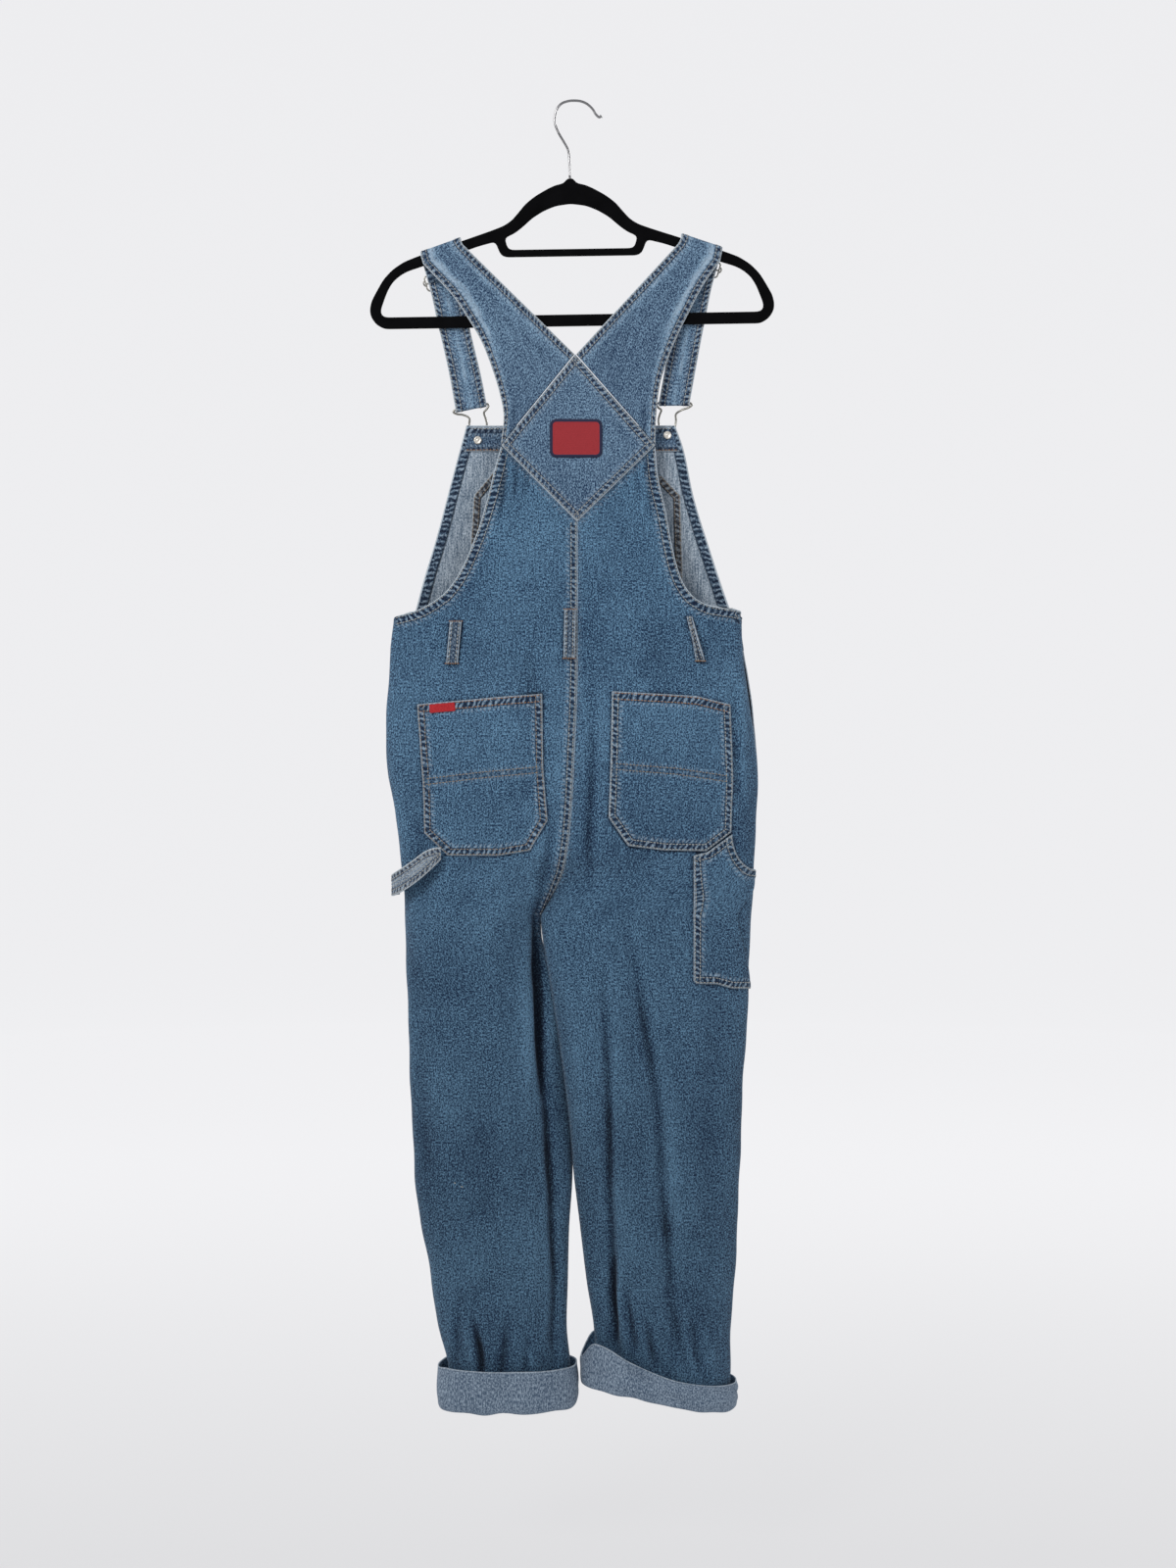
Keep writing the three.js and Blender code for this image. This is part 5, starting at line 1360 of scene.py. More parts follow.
# ---- ribbons: loops and straps --------------------------------------------------------------------
def ribbon(name, left, right, thickness, looks, toward, columns=12, hem=8.0, pale=0.9, rope=0.9,
           rows=(1.6, -1.5), high=0.35, lengthwise=None, worn=None):
    """A strip of cloth between two edges, with a stitched band along each of them."""
    t = np.linspace(0, 1, columns)
    grid = left[:, None] + (right - left)[:, None] * t[None, :, None]
    normals = grid_normals(grid, toward) if lengthwise is None else lengthwise(grid)
    run = along(grid.mean(1))
    wide = np.linalg.norm(right - left, axis=1)
    to_left, to_right = wide[:, None] * t, wide[:, None] * (1 - t)
    away = np.minimum(to_left, to_right)
    full = lambda v: np.full(away.shape, float(v))
    station = np.repeat(run[:, None], columns, 1) + np.where(to_left < to_right, 0, 37.0)
    marks = np.stack([away, station, full(hem), full(pale), full(rope), full(high)], -1)
    rise = hem_rise(marks)
    outer = grid + normals * (thickness / 2 + rise * 0.6)[..., None]
    flat = np.stack([to_left - wide[:, None] / 2, np.repeat(-run[:, None], columns, 1)], -1)
    relief = FINE(flat[..., 0] * 2, flat[..., 1]) * 0.8
    if worn is not None:
        relief = relief + worn(grid, to_left, to_right)
    piece = shell(name, outer, toward, thickness + rise * 0.8, looks,
                  cloth_marks(flat, marks, relief, next(SEEDS)), normals=normals)
    for row in rows:
        inset = row if row >= 0 else hem + row
        for back in (False, True):
            s = np.clip(inset / wide, 0, 0.5)
            s = 1 - s if back else s
            line = left + (right - left) * s[:, None]
            near = np.minimum(columns - 1, np.round(s * (columns - 1)).astype(int))
            facing = normals[np.arange(len(line)), near]
            above = outer[np.arange(len(line)), near] - grid[np.arange(len(line)), near]
            sew("pale", line + above + facing * 0.15, facing)
    return piece


def on_back(side, x, z, out):
    """The place at (x, z) that stands out from a back panel by that many mm."""
    lattice = PANELS[f"back_{side}"]
    points, _ = lattice.place(flat_place(lattice, x, z)[None], np.array([0.0]))
    return np.array([x, points[0][1] - out, z])


def belt_loop(side, top, bottom, widths, rise, turn, steps=26):
    """Both edges of a belt loop, which arches off the cloth and twists."""
    left, right = [], []
    for s in np.linspace(0, 1, steps):
        x, z = mix(top[0], bottom[0], s), mix(top[1], bottom[1], s)
        arch = math.sin(math.pi * s) ** 0.8 if 0 < s < 1 else 0.0
        width = mix(widths[0], widths[1], s)
        across, deep = math.cos(turn * arch) * width / 2, math.sin(turn * arch) * width / 2
        base = on_back(side, x, z, 2.0 + rise * arch + abs(deep))
        left.append((x - across, base[1] + deep, z))
        right.append((x + across, base[1] - deep, z))
    return np.array(left), np.array(right)


def bartack(centre, across, length, normal, count=9):
    """A short dense row of stitches."""
    across = np.array(across, float)
    down = np.cross(across, normal)
    for k in range(count):
        middle = np.array(centre) + across * (k / (count - 1) - 0.5) * length
        sew("orange", np.array([middle - down * 1.0, middle + down * 1.0]), np.array([normal, normal]))


for key, (side, top, bottom, widths, rise, turn) in LOOPS.items():
    left, right = belt_loop(side, top, bottom, widths, rise, turn)
    piece = ribbon(f"cloth_belt_loop_{key}", left, right, 1.9, [LOOSE_DENIM, WRONG_SIDE, LOOSE_DENIM],
                   (0, -1, 0), columns=11, hem=4.6, pale=0.6, rope=1.0, rows=(2.6,), high=0.5,
                   worn=lambda grid, a, b: -3.6 * bell((a - b) / 2, 1.7))
    replace(piece, f"belt_loop_{key}")
    for centre in (top, bottom):
        if key == "right" and centre is top:
            continue
        spot = on_back(side, *centre, 3.6)
        bartack(spot, (1, 0, 0), widths[1] + 1.5, (0, -1, 0))

# The hammer loop: the strip's middle (x, y) and the heights of its edges.
HAMMER = [(-147, -41, -829.6, -842.5), (-152, -43, -829.5, -848), (-163, -44, -833, -858.5),
          (-176, -41.5, -842.5, -869), (-189, -34, -851.5, -877.5), (-198.5, -24, -857.5, -882.5),
          (-202.5, -13.5, -860.5, -884), (-200.5, -4, -861, -883.5), (-195.6, -1.4, -861, -883)]
upper = spline([(x, y, top) for x, y, top, _ in HAMMER], 60)
lower = spline([(x, y, low) for x, y, _, low in HAMMER], 60)
HAMMER_CLOTH = denim("hammer_loop_cloth", linear(52, 72, 96), linear(170, 182, 192),
                     linear(20, 34, 56), fleck=0.8, slub=0.5)
hammer = ribbon("cloth_hammer_loop", upper, lower, 1.8, [HAMMER_CLOTH, LOOSE_DENIM, HAMMER_CLOTH],
                (-1, -1, 0), columns=18, hem=8.0, pale=0.9, rope=1.0, rows=(1.8, 6.2, 10.4), high=0.4,
                worn=lambda grid, a, b: 1.5 - 3.5 * bell(b - 8.6, 1.2))
replace(hammer, "hammer_loop")

# ---- straps ----------------------------------------------------------------------------------------
HANGER_THICK = 5.0
OVER_RADIUS = HANGER_THICK / 2 + 0.4 + STRAP_THICK / 2 + 0.3
LOOP_RADIUS = WIRE / 2 + 0.4 + STRAP_THICK / 2
BAR_Y = 7.6        # the buckle's bar,
SLIDE_Y = 6.8      # and the slide, in front of the hanger's plane
SLIDE_PITCH = 8.0  # from the slide's bar to its frame
WEAVE = 2.3        # how far the strap passes to either side of that bar
STRAP = {
    "left": {
        "outer": [(-82.3, -383.2), (-79.5, -351), (-83.5, -328), (-91.5, -301), (-104.5, -267.5),
                  (-120.7, -240), (-135.4, -218), (-156, -195.5), (-171.5, -179)],
        "inner": [(-1, -282), (-126.5, -158.6)],
        "over": [(-172, -170.8), (-127.6, -154.6)],
        "front": [(-171, -176), (-161, -212), (-154, -244), (-141.5, -299), (-133.8, -341.6)],
        "slide": -201, "bar": (-116.6, -338.3), "turn": 0.19, "button": (-109, -375.8)},
    "right": {
        "outer": [(89.1, -383.2), (88.9, -374), (91.3, -336.5), (95, -313), (104, -285),
                  (115, -258.5), (128, -232.5), (142.5, -205), (163, -176)],
        "inner": [(1.2, -282), (116.5, -157)],
        "over": [(163.6, -165.4), (118.2, -150.3)],
        "front": [(162.4, -169), (152.2, -206), (146.3, -235), (139.2, -271.6), (127.8, -334)],
        "slide": -186, "bar": (110.6, -334), "turn": 0.0, "button": (103, -370.2)},
}
OUTER_WEAVE = profile([(2 * SLIDE_PITCH, 0), (SLIDE_PITCH, -WEAVE), (0, WEAVE), (-SLIDE_PITCH, -WEAVE),
                       (-2 * SLIDE_PITCH, 0)])
INNER_WEAVE = profile([(0, -WEAVE), (-SLIDE_PITCH, -WEAVE - STRAP_THICK - 0.4),
                       (-2.2 * SLIDE_PITCH, -STRAP_THICK - 0.8)])


def edge_curve(strap):
    """Where the outer edge of a strap's hanging part is at each height."""
    return profile([(z, x) for x, z in strap["front"]])


def strap_edges(side):
    """Both edges of a strap all along it, and the station where its hanging part begins."""
    strap = STRAP[side]
    hand = SIDE[side]
    outer = resample(spline(strap["outer"], 120), 3.2)
    inner = resample(spline(strap["inner"], len(outer)), 1.0)
    inner = np.stack([np.interp(np.linspace(0, 1, len(outer)), np.linspace(0, 1, len(inner)), inner[:, k])
                      for k in range(2)], 1)

    def stand(p):
        x, z = p[:, 0], p[:, 1]
        y = STRAP_THICK / 2 + mix(body_y("back", x, z), -DEPTH["back"](z), smooth(-384, -320, z))
        return np.stack([x, y, z], 1)

    left, right = [stand(outer)[:-1]], [stand(inner)[:-1]]
    top_outer, top_inner = strap["over"]
    for a in np.linspace(0, math.pi, 13):
        y, up = -OVER_RADIUS * math.cos(a), OVER_RADIUS * math.sin(a) - 1
        left.append([(top_outer[0], y, top_outer[1] + up)])
        right.append([(top_inner[0], y, top_inner[1] + up)])
    edge = edge_curve(strap)
    top, end = strap["front"][0][1], strap["front"][-1][1]

    def hanging(z, y, drop=0.0):
        width = mix(STRAP_WIDTH, STRAP_WIDTH + 3, smooth(-240, top, z))
        turn = math.tan(strap["turn"]) * smooth(mix(top, end, 0.55), end, z)
        x = float(edge(z))
        left.append([(x, y, z - drop)])
        right.append([(x - hand * width, y, z - drop - hand * turn * width)])

    def woven_y(z, end_y, weave):
        return float(mix(SLIDE_Y, end_y, smooth(-230, end + 6, z)) + weave(z - strap["slide"]))

    woven = strap["slide"] + 2 * SLIDE_PITCH, strap["slide"] - 2.2 * SLIDE_PITCH
    heights = np.concatenate([np.arange(*woven, -1.6), np.linspace(woven[1], end, 44)])
    for z in heights[heights < top - 1]:
        hanging(z, woven_y(z, BAR_Y + LOOP_RADIUS, OUTER_WEAVE))
    for a in np.linspace(0, math.pi, 11)[1:-1]:
        hanging(end, BAR_Y + LOOP_RADIUS * math.cos(a), LOOP_RADIUS * math.sin(a))
    for z in heights[heights < strap["slide"] + 1][::-1]:
        hanging(z, woven_y(z, BAR_Y - LOOP_RADIUS + STRAP_THICK + 0.8, INNER_WEAVE))
    return np.vstack(left), np.vstack(right)


def strap_normals(grid):
    """The way a strap's right side faces, told from its first rows, which lie on the back."""
    normals = grid_normals(grid, (0, -1, 0))
    return normals if normals[4, 4, 1] < 0 else -normals


def strap_wear(grid, to_outer, to_inner):
    """Pale streaks beside the hems near the shoulder, and down the middle of the hanging part."""
    hanging = smooth(-1, 4, grid[..., 1])
    shoulder = smooth(-320, -215, grid[..., 2])
    drawn = smooth(-300, -360, grid[..., 2])
    behind = (4.0 * bell(to_outer - 14.5, 5) * shoulder + 2.2 * bell(to_outer - 11, 2.4)
              + 3.0 * bell(to_inner - 11.5, 3) - 2.2 * bell(to_outer - 20, 5) * drawn)
    return mix(behind, 3.4 * bell(to_outer - STRAP_WIDTH / 2, 5) - 1.4 * bell(to_outer - 10, 2)
               - 1.4 * bell(to_inner - 10, 2), hanging)


for side in ("left", "right"):
    outer, inner = strap_edges(side)
    piece = ribbon(f"cloth_strap_{side}", outer, inner, STRAP_THICK, [STRAP_DENIM] * 3,
                   (0, -1, 0), columns=36, hem=8.2, pale=0.85, rope=1.0, rows=(1.8, -1.6), high=0.5,
                   lengthwise=strap_normals, worn=strap_wear)
    replace(piece, f"strap_{side}", 0.030)


# ---- cuffs -----------------------------------------------------------------------------------------
CUFF_STEPS = 150
CUFF_WAVES = {"left": ripples(30, 70, 8), "right": ripples(30, 70, 8)}


def cuff(side, ends, near, far):
    """A turn-up: the leg's cloth folds out at its end and comes back up round the leg."""
    a = np.linspace(0, 2 * math.pi, CUFF_STEPS, endpoint=False)
    reach = np.sign(np.cos(a)) * np.abs(np.cos(a)) ** (2 / 2.5)
    away = np.abs(np.sin(a)) ** (2 / 2.5)
    depth = np.where(np.sin(a) > 0, far, near) * away
    x = mix(ends[0], ends[1], 0.5 + 0.5 * reach)
    high = CUFF_TOP[side](np.abs(x))
    bottom = CUFF_LOW[side](x)
    wave = CUFF_WAVES[side]
    run = np.concatenate([[0], np.cumsum(np.hypot(np.diff(x), np.diff(depth)))])
    # Down the inside, round the fold, and up the outside: (distance out, share of the height).
    path = spline([(-2.6, 0.34), (-2.6, 0.16), (-1.9, 0.045), (-0.2, 0.0), (1.7, 0.03), (2.6, 0.12),
                   (3.1, 0.35), (3.0, 0.6), (2.6, 0.82), (2.2, 1.0)], 34)
    rows, flat = [], []
    for k, (out, share) in enumerate(path):
        ruffle = 0.8 * wave(run, 60 * share) * smooth(0.0, 0.3, share) * (0 if out < 0 else 1)
        sag = 0.9 * wave(run * 1.4 + 90, 0.0) * (1 - share)
        o = out + ruffle
        rows.append(np.stack([x + o * np.cos(a), depth + o * np.sin(a),
                              mix(bottom, high, share) + sag], 1))
        flat.append(np.stack([run, np.full(len(a), -k * 1.9)], 1))
    grid = np.array(rows)
    flat = np.array(flat)
    hem_line = flat[-1]
    marks = hem_marks(flat, [Hem(hem_line, 2.0, 0.35, 0.25, (), high=0.0)])
    normals = grid_normals(grid, (0, 0, 0), loop=True)
    centre = np.array([np.mean(ends), 0, 0])
    if ((grid[-5] - centre) * normals[-5])[:, :2].sum() < 0:
        normals = -normals
    piece = shell(f"cloth_cuff_{side}", grid, (0, 0, 1), 1.3, [CUFF_CLOTH, DENIM, CUFF_CLOTH],
                  cloth_marks(flat, marks, 0.5 * wave(flat[..., 0], 0), next(SEEDS)), loop=True,
                  normals=normals)
    replace(piece, f"cuff_{side}")


cuff("left", (-150.5, 0), -41.5, 40)
cuff("right", (8.6, 177.2), -41.5, 40)


# ---- hanger ----------------------------------------------------------------------------------------
HANGER_TOP = (-5.75, -85.0)
HANGER_TILT = math.radians(0.9)
HANGER_EDGE = [(3.6, 0), (5, -1.6), (6.2, -5.8), (16, -7.4), (26.5, -12.2), (39.7, -19.8),
               (50.3, -28.1), (58.3, -37.7), (65.8, -46.3), (74.5, -52), (89, -57.4), (120.3, -67.8),
               (172, -84.9), (186.7, -90.6), (199.4, -98.9), (209.6, -109.5), (216.5, -121.1),
               (223.4, -133.5), (225.6, -143.5), (224.5, -151.1), (218.8, -159.6), (209.6, -165)]
HANGER_SPACE = [(73.7, -87), (78.6, -84.5), (80.5, -80), (84.5, -69.4), (104, -74.5), (167.6, -96.2),
                (182.8, -101), (191.2, -105.6), (199.6, -112.9), (205.6, -123), (213.3, -143.5),
                (212.8, -149.5), (208.6, -152)]
TIE_SPACE = [(0, -28.5), (17, -30.8), (30.5, -36.3), (43, -44), (53.6, -53.6), (62.8, -60.5),
             (74, -65.5), (70.6, -77.6), (68.5, -79)]


def hanger_place(x, z):
    """A place on the hanger's own drawing, tilted as it hangs."""
    c, s = math.cos(HANGER_TILT), math.sin(HANGER_TILT)
    return HANGER_TOP[0] + x * c - z * s, HANGER_TOP[1] + x * s + z * c


def hanger_object():
    """The flocked body: its outline and openings, filled and rounded over at every edge."""
    bevel = 2.1
    curve = bpy.data.curves.new("hanger_velvet", "CURVE")
    curve.dimensions = "2D"
    curve.fill_mode = "BOTH"
    curve.extrude = (HANGER_THICK / 2 - bevel) * MM
    curve.bevel_depth = bevel * MM
    curve.bevel_resolution = 4
    curve.offset = -bevel * MM
    for half in (HANGER_EDGE, HANGER_SPACE, TIE_SPACE):
        outline = half + [(-x, z) for x, z in reversed(half) if x > 0]
        outline = resample([hanger_place(*p) for p in outline], 3.0, closed=True)
        for _ in range(2):
            outline = (np.roll(outline, 1, 0) + 2 * outline + np.roll(outline, -1, 0)) / 4
        line = curve.splines.new("POLY")
        line.points.add(len(outline) - 1)
        line.use_cyclic_u = True
        for point, (x, z) in zip(line.points, outline):
            point.co = (x * MM, z * MM, 0, 1)
    made = add_object("hanger_curve", curve)
    made.rotation_euler = (math.pi / 2, 0, 0)
    bpy.context.view_layer.update()
    mesh = bpy.data.meshes.new_from_object(made.evaluated_get(bpy.context.evaluated_depsgraph_get()))
    mesh.transform(made.matrix_world)
    mesh.name = "hanger_velvet"
    bpy.data.objects.remove(made)
    mesh.materials.clear()
    mesh.materials.append(VELVET)
    return body_piece("hanger_velvet", mesh, weld=0.02 * MM)


def through_rings(name, grid, material, closed=False):
    """A mesh through rows of rings, closed on itself or capped at both ends."""
    rows, sides = grid.shape[:2]
    last = (rows - 1) * sides
    faces = grid_faces(rows, sides, loop=True).tolist()
    if closed:
        faces += [(last + j, last + (j + 1) % sides, (j + 1) % sides, j) for j in range(sides)]
    else:
        faces += [range(sides), range(last, last + sides)]
    return make(name, grid.reshape(-1, 3), [tuple(f) for f in faces], [material])


def tube(name, points, radii, material, sides, closed=False):
    """A round wire along points in mm; radii is one number or one for each point."""
    p = np.array(points, float)
    radii = np.broadcast_to(np.asarray(radii, float), (len(p),))
    forward = unit(np.roll(p, -1, 0) - np.roll(p, 1, 0) if closed else np.gradient(p, axis=0))
    side = np.cross(forward, (0, 1, 0))
    weak = np.linalg.norm(side, axis=1) < 0.2
    side[weak] = np.cross(forward[weak], (1, 0, 0))
    side = unit(side)
    up = np.cross(side, forward)
    angle = np.linspace(0, 2 * math.pi, sides, endpoint=False)
    ring = side[:, None] * np.cos(angle)[None, :, None] + up[:, None] * np.sin(angle)[None, :, None]
    return through_rings(name, p[:, None] + ring * radii[:, None, None], material, closed)


stand_for(hanger_object(), "hanger_body")

HOOK_LINE = [(-6, -84.6), (-6.4, -67), (-7.8, -54.3), (-11.9, -46), (-18.7, -34.4), (-22.5, -24.4),
             (-22.6, -16), (-20.1, -7.4), (-15.1, -1.8), (-7.6, 0.9), (0, 1.4), (6.5, 0.6),
             (13, -2.2), (19.3, -8), (22.9, -13.9), (26.6, -17), (28.2, -16.6), (29.4, -15.7)]
hook_path = spline([(x, 0, z) for x, z in HOOK_LINE], 110)
hook_radii = np.full(110, 1.4)
hook_radii[-8:] = [1.15, 1.0, 1.2, 1.7, 2.1, 2.25, 2.0, 1.2]
stand_for(tube("hook_wire", hook_path, hook_radii, CHROME, 16), "hanger_hook")


# ---- buckles, slides, buttons, rivets ----------------------------------------------------------------
BUCKLE_HALF = [(0, 0), (STRAP_WIDTH / 2, 0), (STRAP_WIDTH / 2 + 2.4, -2.2), (STRAP_WIDTH / 2 - 0.6, -5.4),
               (11.6, -7.6), (9, -12), (9.8, -18), (8.6, -26), (5.8, -32), (4.6, -36), (3.6, -39.4),
               (0, -41.4)]
BUCKLE_FORWARD = 5.8


def buckle(side):
    """A wire buckle: a bar through the strap's loop and a slot round the button."""
    strap = STRAP[side]
    bar, button = strap["bar"], strap["button"]
    around = BUCKLE_HALF + [(-x, z) for x, z in reversed(BUCKLE_HALF[1:-1])]
    points = []
    for x, z in around:
        bend = float(smooth(-3, -14, z))
        points.append((bar[0] + x + (button[0] - bar[0]) * bend,
                       BAR_Y + BUCKLE_FORWARD * float(smooth(-4, -16, z)),
                       bar[1] + z + x * math.tan(strap["turn"]) * (1 - bend)))
    return tube(f"buckle_wire_{side}", spline(points, 150, closed=True), WIRE / 2, NICKEL, 12, closed=True)


def slide(side):
    """A wire slide: a frame, the bar across it and the curled ends of its wire."""
    strap = STRAP[side]
    edge = edge_curve(strap)
    middle = float(edge(strap["slide"])) - SIDE[side] * (STRAP_WIDTH + 1.5) / 2
    half = STRAP_WIDTH / 2 + 3.8
    lean = float(edge(strap["slide"] + 10) - edge(strap["slide"] - 10)) / 20
    wire = WIRE * 0.4

    def at(x, up):
        return (middle + x + lean * up, SLIDE_Y, strap["slide"] + up)

    ring = [at(x, up) for x, up in rounded_box(0, 0, 2 * half, 2 * SLIDE_PITCH, 2.4, steps=6)]
    frame_wire = tube(f"slide_wire_{side}", resample(ring, 1.6, closed=True), wire, NICKEL, 10, closed=True)
    bar = tube(f"slide_bar_{side}", resample([at(-half, 0), at(half, 0)], 2.0), wire, NICKEL, 10)
    # The wire's ends curl round the frame at the outer side.
    curl = [at(SIDE[side] * (half + 0.6 + 1.9 * math.sin(a)), 2.6 * math.cos(a))
            for a in np.linspace(-0.4, math.pi + 0.4, 24)]
    tip = tube(f"slide_curl_{side}", curl, wire * 0.9, NICKEL, 10)
    return frame_wire, bar, tip


def lathe(name, outline, centre, normal, material, steps=40):
    """A round piece: (radius, height) pairs turned about the normal."""
    n = np.array(normal, float)
    n /= np.linalg.norm(n)
    side = np.cross(n, (0, 0, 1))
    side /= np.linalg.norm(side)
    up = np.cross(side, n)
    a = np.linspace(0, 2 * math.pi, steps, endpoint=False)
    ring = side * np.cos(a)[:, None] + up * np.sin(a)[:, None]
    rows = [np.array(centre) + n * h + ring * max(r, 0.02) for r, h in outline]
    return through_rings(name, np.array(rows), material)


def tack_button(name, node, centre, normal, radius, shank):
    """A domed tack button with a rolled rim and a dished, ringed face."""
    r, h = radius, shank
    outline = [(0, 0), (2, 0), (2, h), (r - 1.4, h), (r - 0.5, h + 0.35), (r, h + 1.1), (r - 0.25, h + 1.9),
               (r - 0.9, h + 2.35), (r - 1.6, h + 2.2), (r - 2.2, h + 2.05), (r * 0.6, h + 2.5),
               (r * 0.42, h + 2.95), (r * 0.33, h + 2.75), (r * 0.2, h + 2.95), (0, h + 3.1)]
    fine = spline(outline, 70)
    fine[:, 0] = np.maximum(fine[:, 0], 0)
    stand_for(lathe(name, fine, centre, normal, NICKEL), node)


for side in ("left", "right"):
    stand_for(buckle(side), f"buckle_{side}")
    wire_frame, *rest = slide(side)
    stand_for(wire_frame, f"slide_{side}")
    for piece in rest:
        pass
    x, z = STRAP[side]["button"]
    front = float(body_y("front", x, z))
    tack_button(f"button_bib_{side}", f"bib_button_{side}", (x, front + 0.4, z), (0, 1, 0), 8.5, 4.8)
    # The rivet behind the button: a pale dished washer, seen inside the bib.
    washer = [(0, 0), (4.4, 0), (4.5, 0.6), (4.2, 1.1), (3.4, 1.45), (2.6, 1.2), (1.7, 0.95), (0.9, 1.35),
              (0, 1.5)]
    rivet = lathe(f"rivet_bib_{side}", spline(washer, 40), (x, front - CLOTH - LIFT - 1 - 0.4, z),
                  (0, -1, 0), WHITE_METAL)
    stand_for(rivet, f"bib_rivet_{side}")
    for k, place in enumerate(("upper", "lower")):
        height = WAIST - 20 - 58 * k
        lattice = PANELS[f"front_{side}"]
        low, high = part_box(f"side_button_{side}_{place}")
        centre_x = 0.5 * (low.x + high.x) / MM
        spot = flat_place(lattice, centre_x, height)[None]
        point, normal = lattice.place(spot, np.array([1.0]))
        tack_button(f"button_side_{side}_{place}", f"side_button_{side}_{place}", point[0], normal[0], 8, 1.4)


# ---- stitching -------------------------------------------------------------------------------------
STITCH, STITCH_GAP = 2.7, 0.9
SHORTEST_LINE = 1.5


def stitch_mesh(name, lines, material):
    """Every stitch of one colour as a small rounded bar lying on the cloth."""
    ring = np.array([(0.45, 0.0), (0.0, 0.4), (-0.45, 0.0), (0.0, -0.25)])
    stations = np.array([(-0.5, 0.35), (-0.25, 1.0), (0.25, 1.0), (0.5, 0.35)])
    points, faces = [], []
    for line, normals in lines:
        reach = along(line)
        if reach[-1] < SHORTEST_LINE:
            continue
        count = max(1, int(reach[-1] / (STITCH + STITCH_GAP)))
        at = (np.arange(count) + 0.5) * reach[-1] / count
        size = min(STITCH, reach[-1] / count * 0.75)
        read = lambda values, s: np.stack([np.interp(s, reach, values[:, k]) for k in range(3)], 1)
        middle = read(line, at)
        ahead, behind = read(line, np.minimum(at + 0.8, reach[-1])), read(line, np.maximum(at - 0.8, 0))
        forward = unit(ahead - behind)
        normal = unit(read(normals, at))
        side = np.cross(forward, normal)
        for k in range(count):
            base = len(points) * 16
            block = [middle[k] + forward[k] * t * size + (side[k] * u + normal[k] * v) * r
                     for t, r in stations for u, v in ring]
            points.append(block)
            for i in range(3):
                for j in range(4):
                    a, b = base + i * 4 + j, base + i * 4 + (j + 1) % 4
                    faces.append((a, b, b + 4, a + 4))
            faces.append((base + 3, base + 2, base + 1, base))
            faces.append((base + 12, base + 13, base + 14, base + 15))
    make(name, np.array(points).reshape(-1, 3), faces, [material])


# Two short scuffed threads on the left leg.
for x, z, long in ((-122, -1204, 5.5), (-131, -1200, 3.0)):
    spot = flat_place(PANELS["back_left"], x, z)
    scuff = np.array([spot, spot + np.array([long, 1.0])])
    sew("pale", *PANELS["back_left"].place(scuff, np.array([0.1, 0.1])))

for colour, lines in THREADS.items():
    stitch_mesh(f"stitching_{colour}", lines, THREAD_LOOKS[colour])


# ---- stage, camera, light ----------------------------------------------------------------------------
FLOOR_Z = -1.63
STAGE_RADIUS, STAGE_BEND, STAGE_TOP = 7.0, 1.8, 9.0


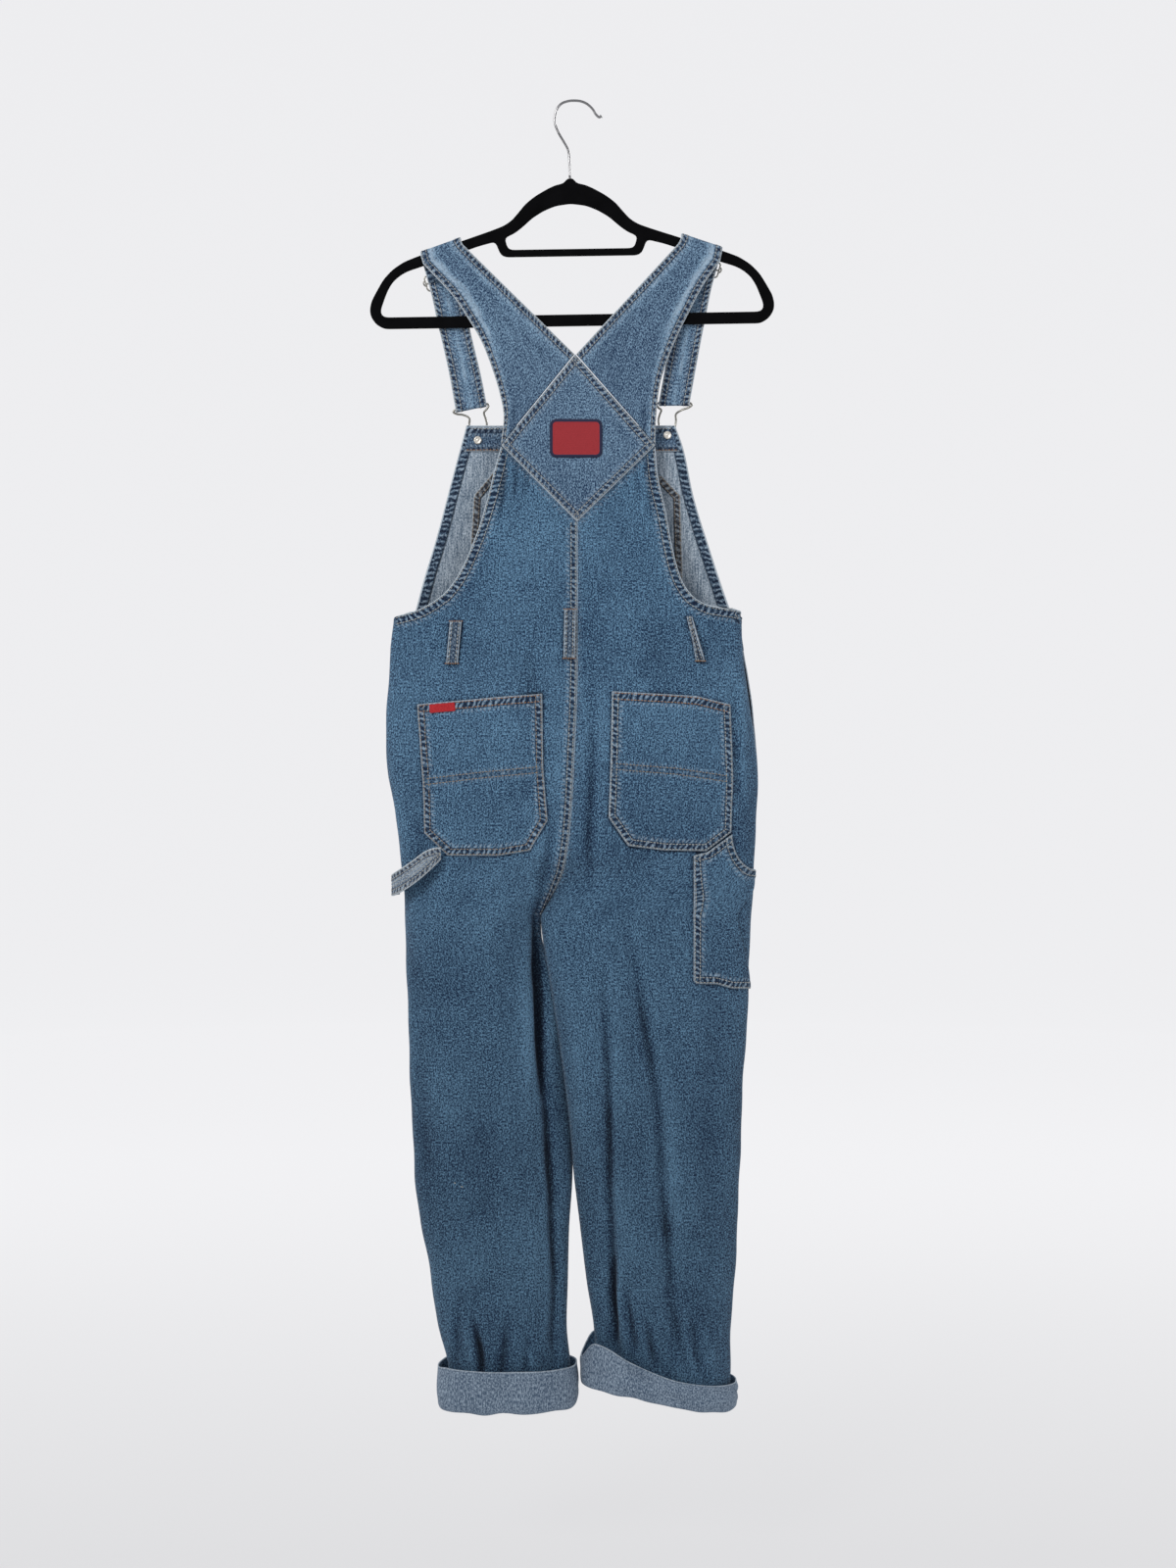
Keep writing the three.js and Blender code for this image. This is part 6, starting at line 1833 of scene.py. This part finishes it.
def stage():
    """A round pale room: a floor that curves up into a wall, brightest where the photo looks."""
    turn = np.linspace(0, math.pi / 2, 20)
    radius = np.concatenate([[0.0], STAGE_RADIUS - STAGE_BEND * (1 - np.sin(turn)), [STAGE_RADIUS]])
    height = np.concatenate([[FLOOR_Z], FLOOR_Z + STAGE_BEND * (1 - np.cos(turn)), [STAGE_TOP]])
    around = np.linspace(0, 2 * math.pi, 96, endpoint=False)
    grid = np.stack([radius[:, None] * np.cos(around), radius[:, None] * np.sin(around),
                     np.repeat(height[:, None], len(around), 1)], -1)
    n = Nodes("pale_stage")
    place = n.place()
    tint = n.blend(n.noise(place, 0.7, 2.0, 0.5), linear(66, 66, 67), linear(72, 72, 73))
    glow = n.ramp(n.split(place)[1], -3.0, 2.6, 0.56, 0.935)
    material = n.finish(Base_Color=tint, Roughness=0.95, Specular_IOR_Level=0.1,
                        Emission_Color=linear(239, 239, 241), Emission_Strength=glow)
    mesh = bpy.data.meshes.new("stage")
    mesh.from_pydata(grid.reshape(-1, 3).tolist(), [], grid_faces(len(grid), len(around), loop=True).tolist())
    mesh.materials.append(material)
    shade_smooth(mesh)
    add_object("stage", mesh)


def area_light(name, place, target, size, power, colour):
    """A soft light at a place, aimed at a target."""
    data = bpy.data.lights.new(name, "AREA")
    data.shape = "RECTANGLE"
    data.size, data.size_y = size
    data.energy = power
    data.color = colour
    made = add_object(name, data)
    made.location = place
    aim = Vector(target) - Vector(place)
    made.rotation_euler = aim.to_track_quat("-Z", "Y").to_euler()


MIDDLE_HEIGHT = -0.75
CAMERA_PLACE = (0.0142, -2.3, -0.76)
LENS = 47.39


def camera():
    """Level, behind the garment, with no shift: the photo's own framing."""
    data = bpy.data.cameras.new("camera")
    data.lens = LENS
    data.sensor_width = 36
    made = add_object("camera", data)
    made.location = CAMERA_PLACE
    made.rotation_euler = (math.pi / 2, 0, 0)
    bpy.context.scene.camera = made


def light():
    """A key and a fill on each side of the garment, in a dim pale world."""
    world = bpy.data.worlds.new("pale_world")
    bpy.context.scene.world = world
    world.use_nodes = True
    world.node_tree.nodes["Background"].inputs["Color"].default_value = (0.93, 0.95, 1.0, 1)
    world.node_tree.nodes["Background"].inputs["Strength"].default_value = 0.42
    middle = (0, 0, MIDDLE_HEIGHT)
    area_light("key", (-1.5, -2.4, 1.1), middle, (1.1, 1.1), 56, (1, 0.99, 0.97))
    area_light("fill", (2.4, -2.2, -0.2), middle, (1.8, 2.2), 12, (0.95, 0.98, 1))
    area_light("front_key", (1.5, 2.6, 0.9), middle, (1.1, 1.1), 40, (1, 0.99, 0.97))
    area_light("front_fill", (-2.4, 2.0, -0.3), middle, (1.8, 2.2), 14, (0.95, 0.98, 1))


stage()
light()
camera()
bpy.context.scene.view_settings.view_transform = "Standard"
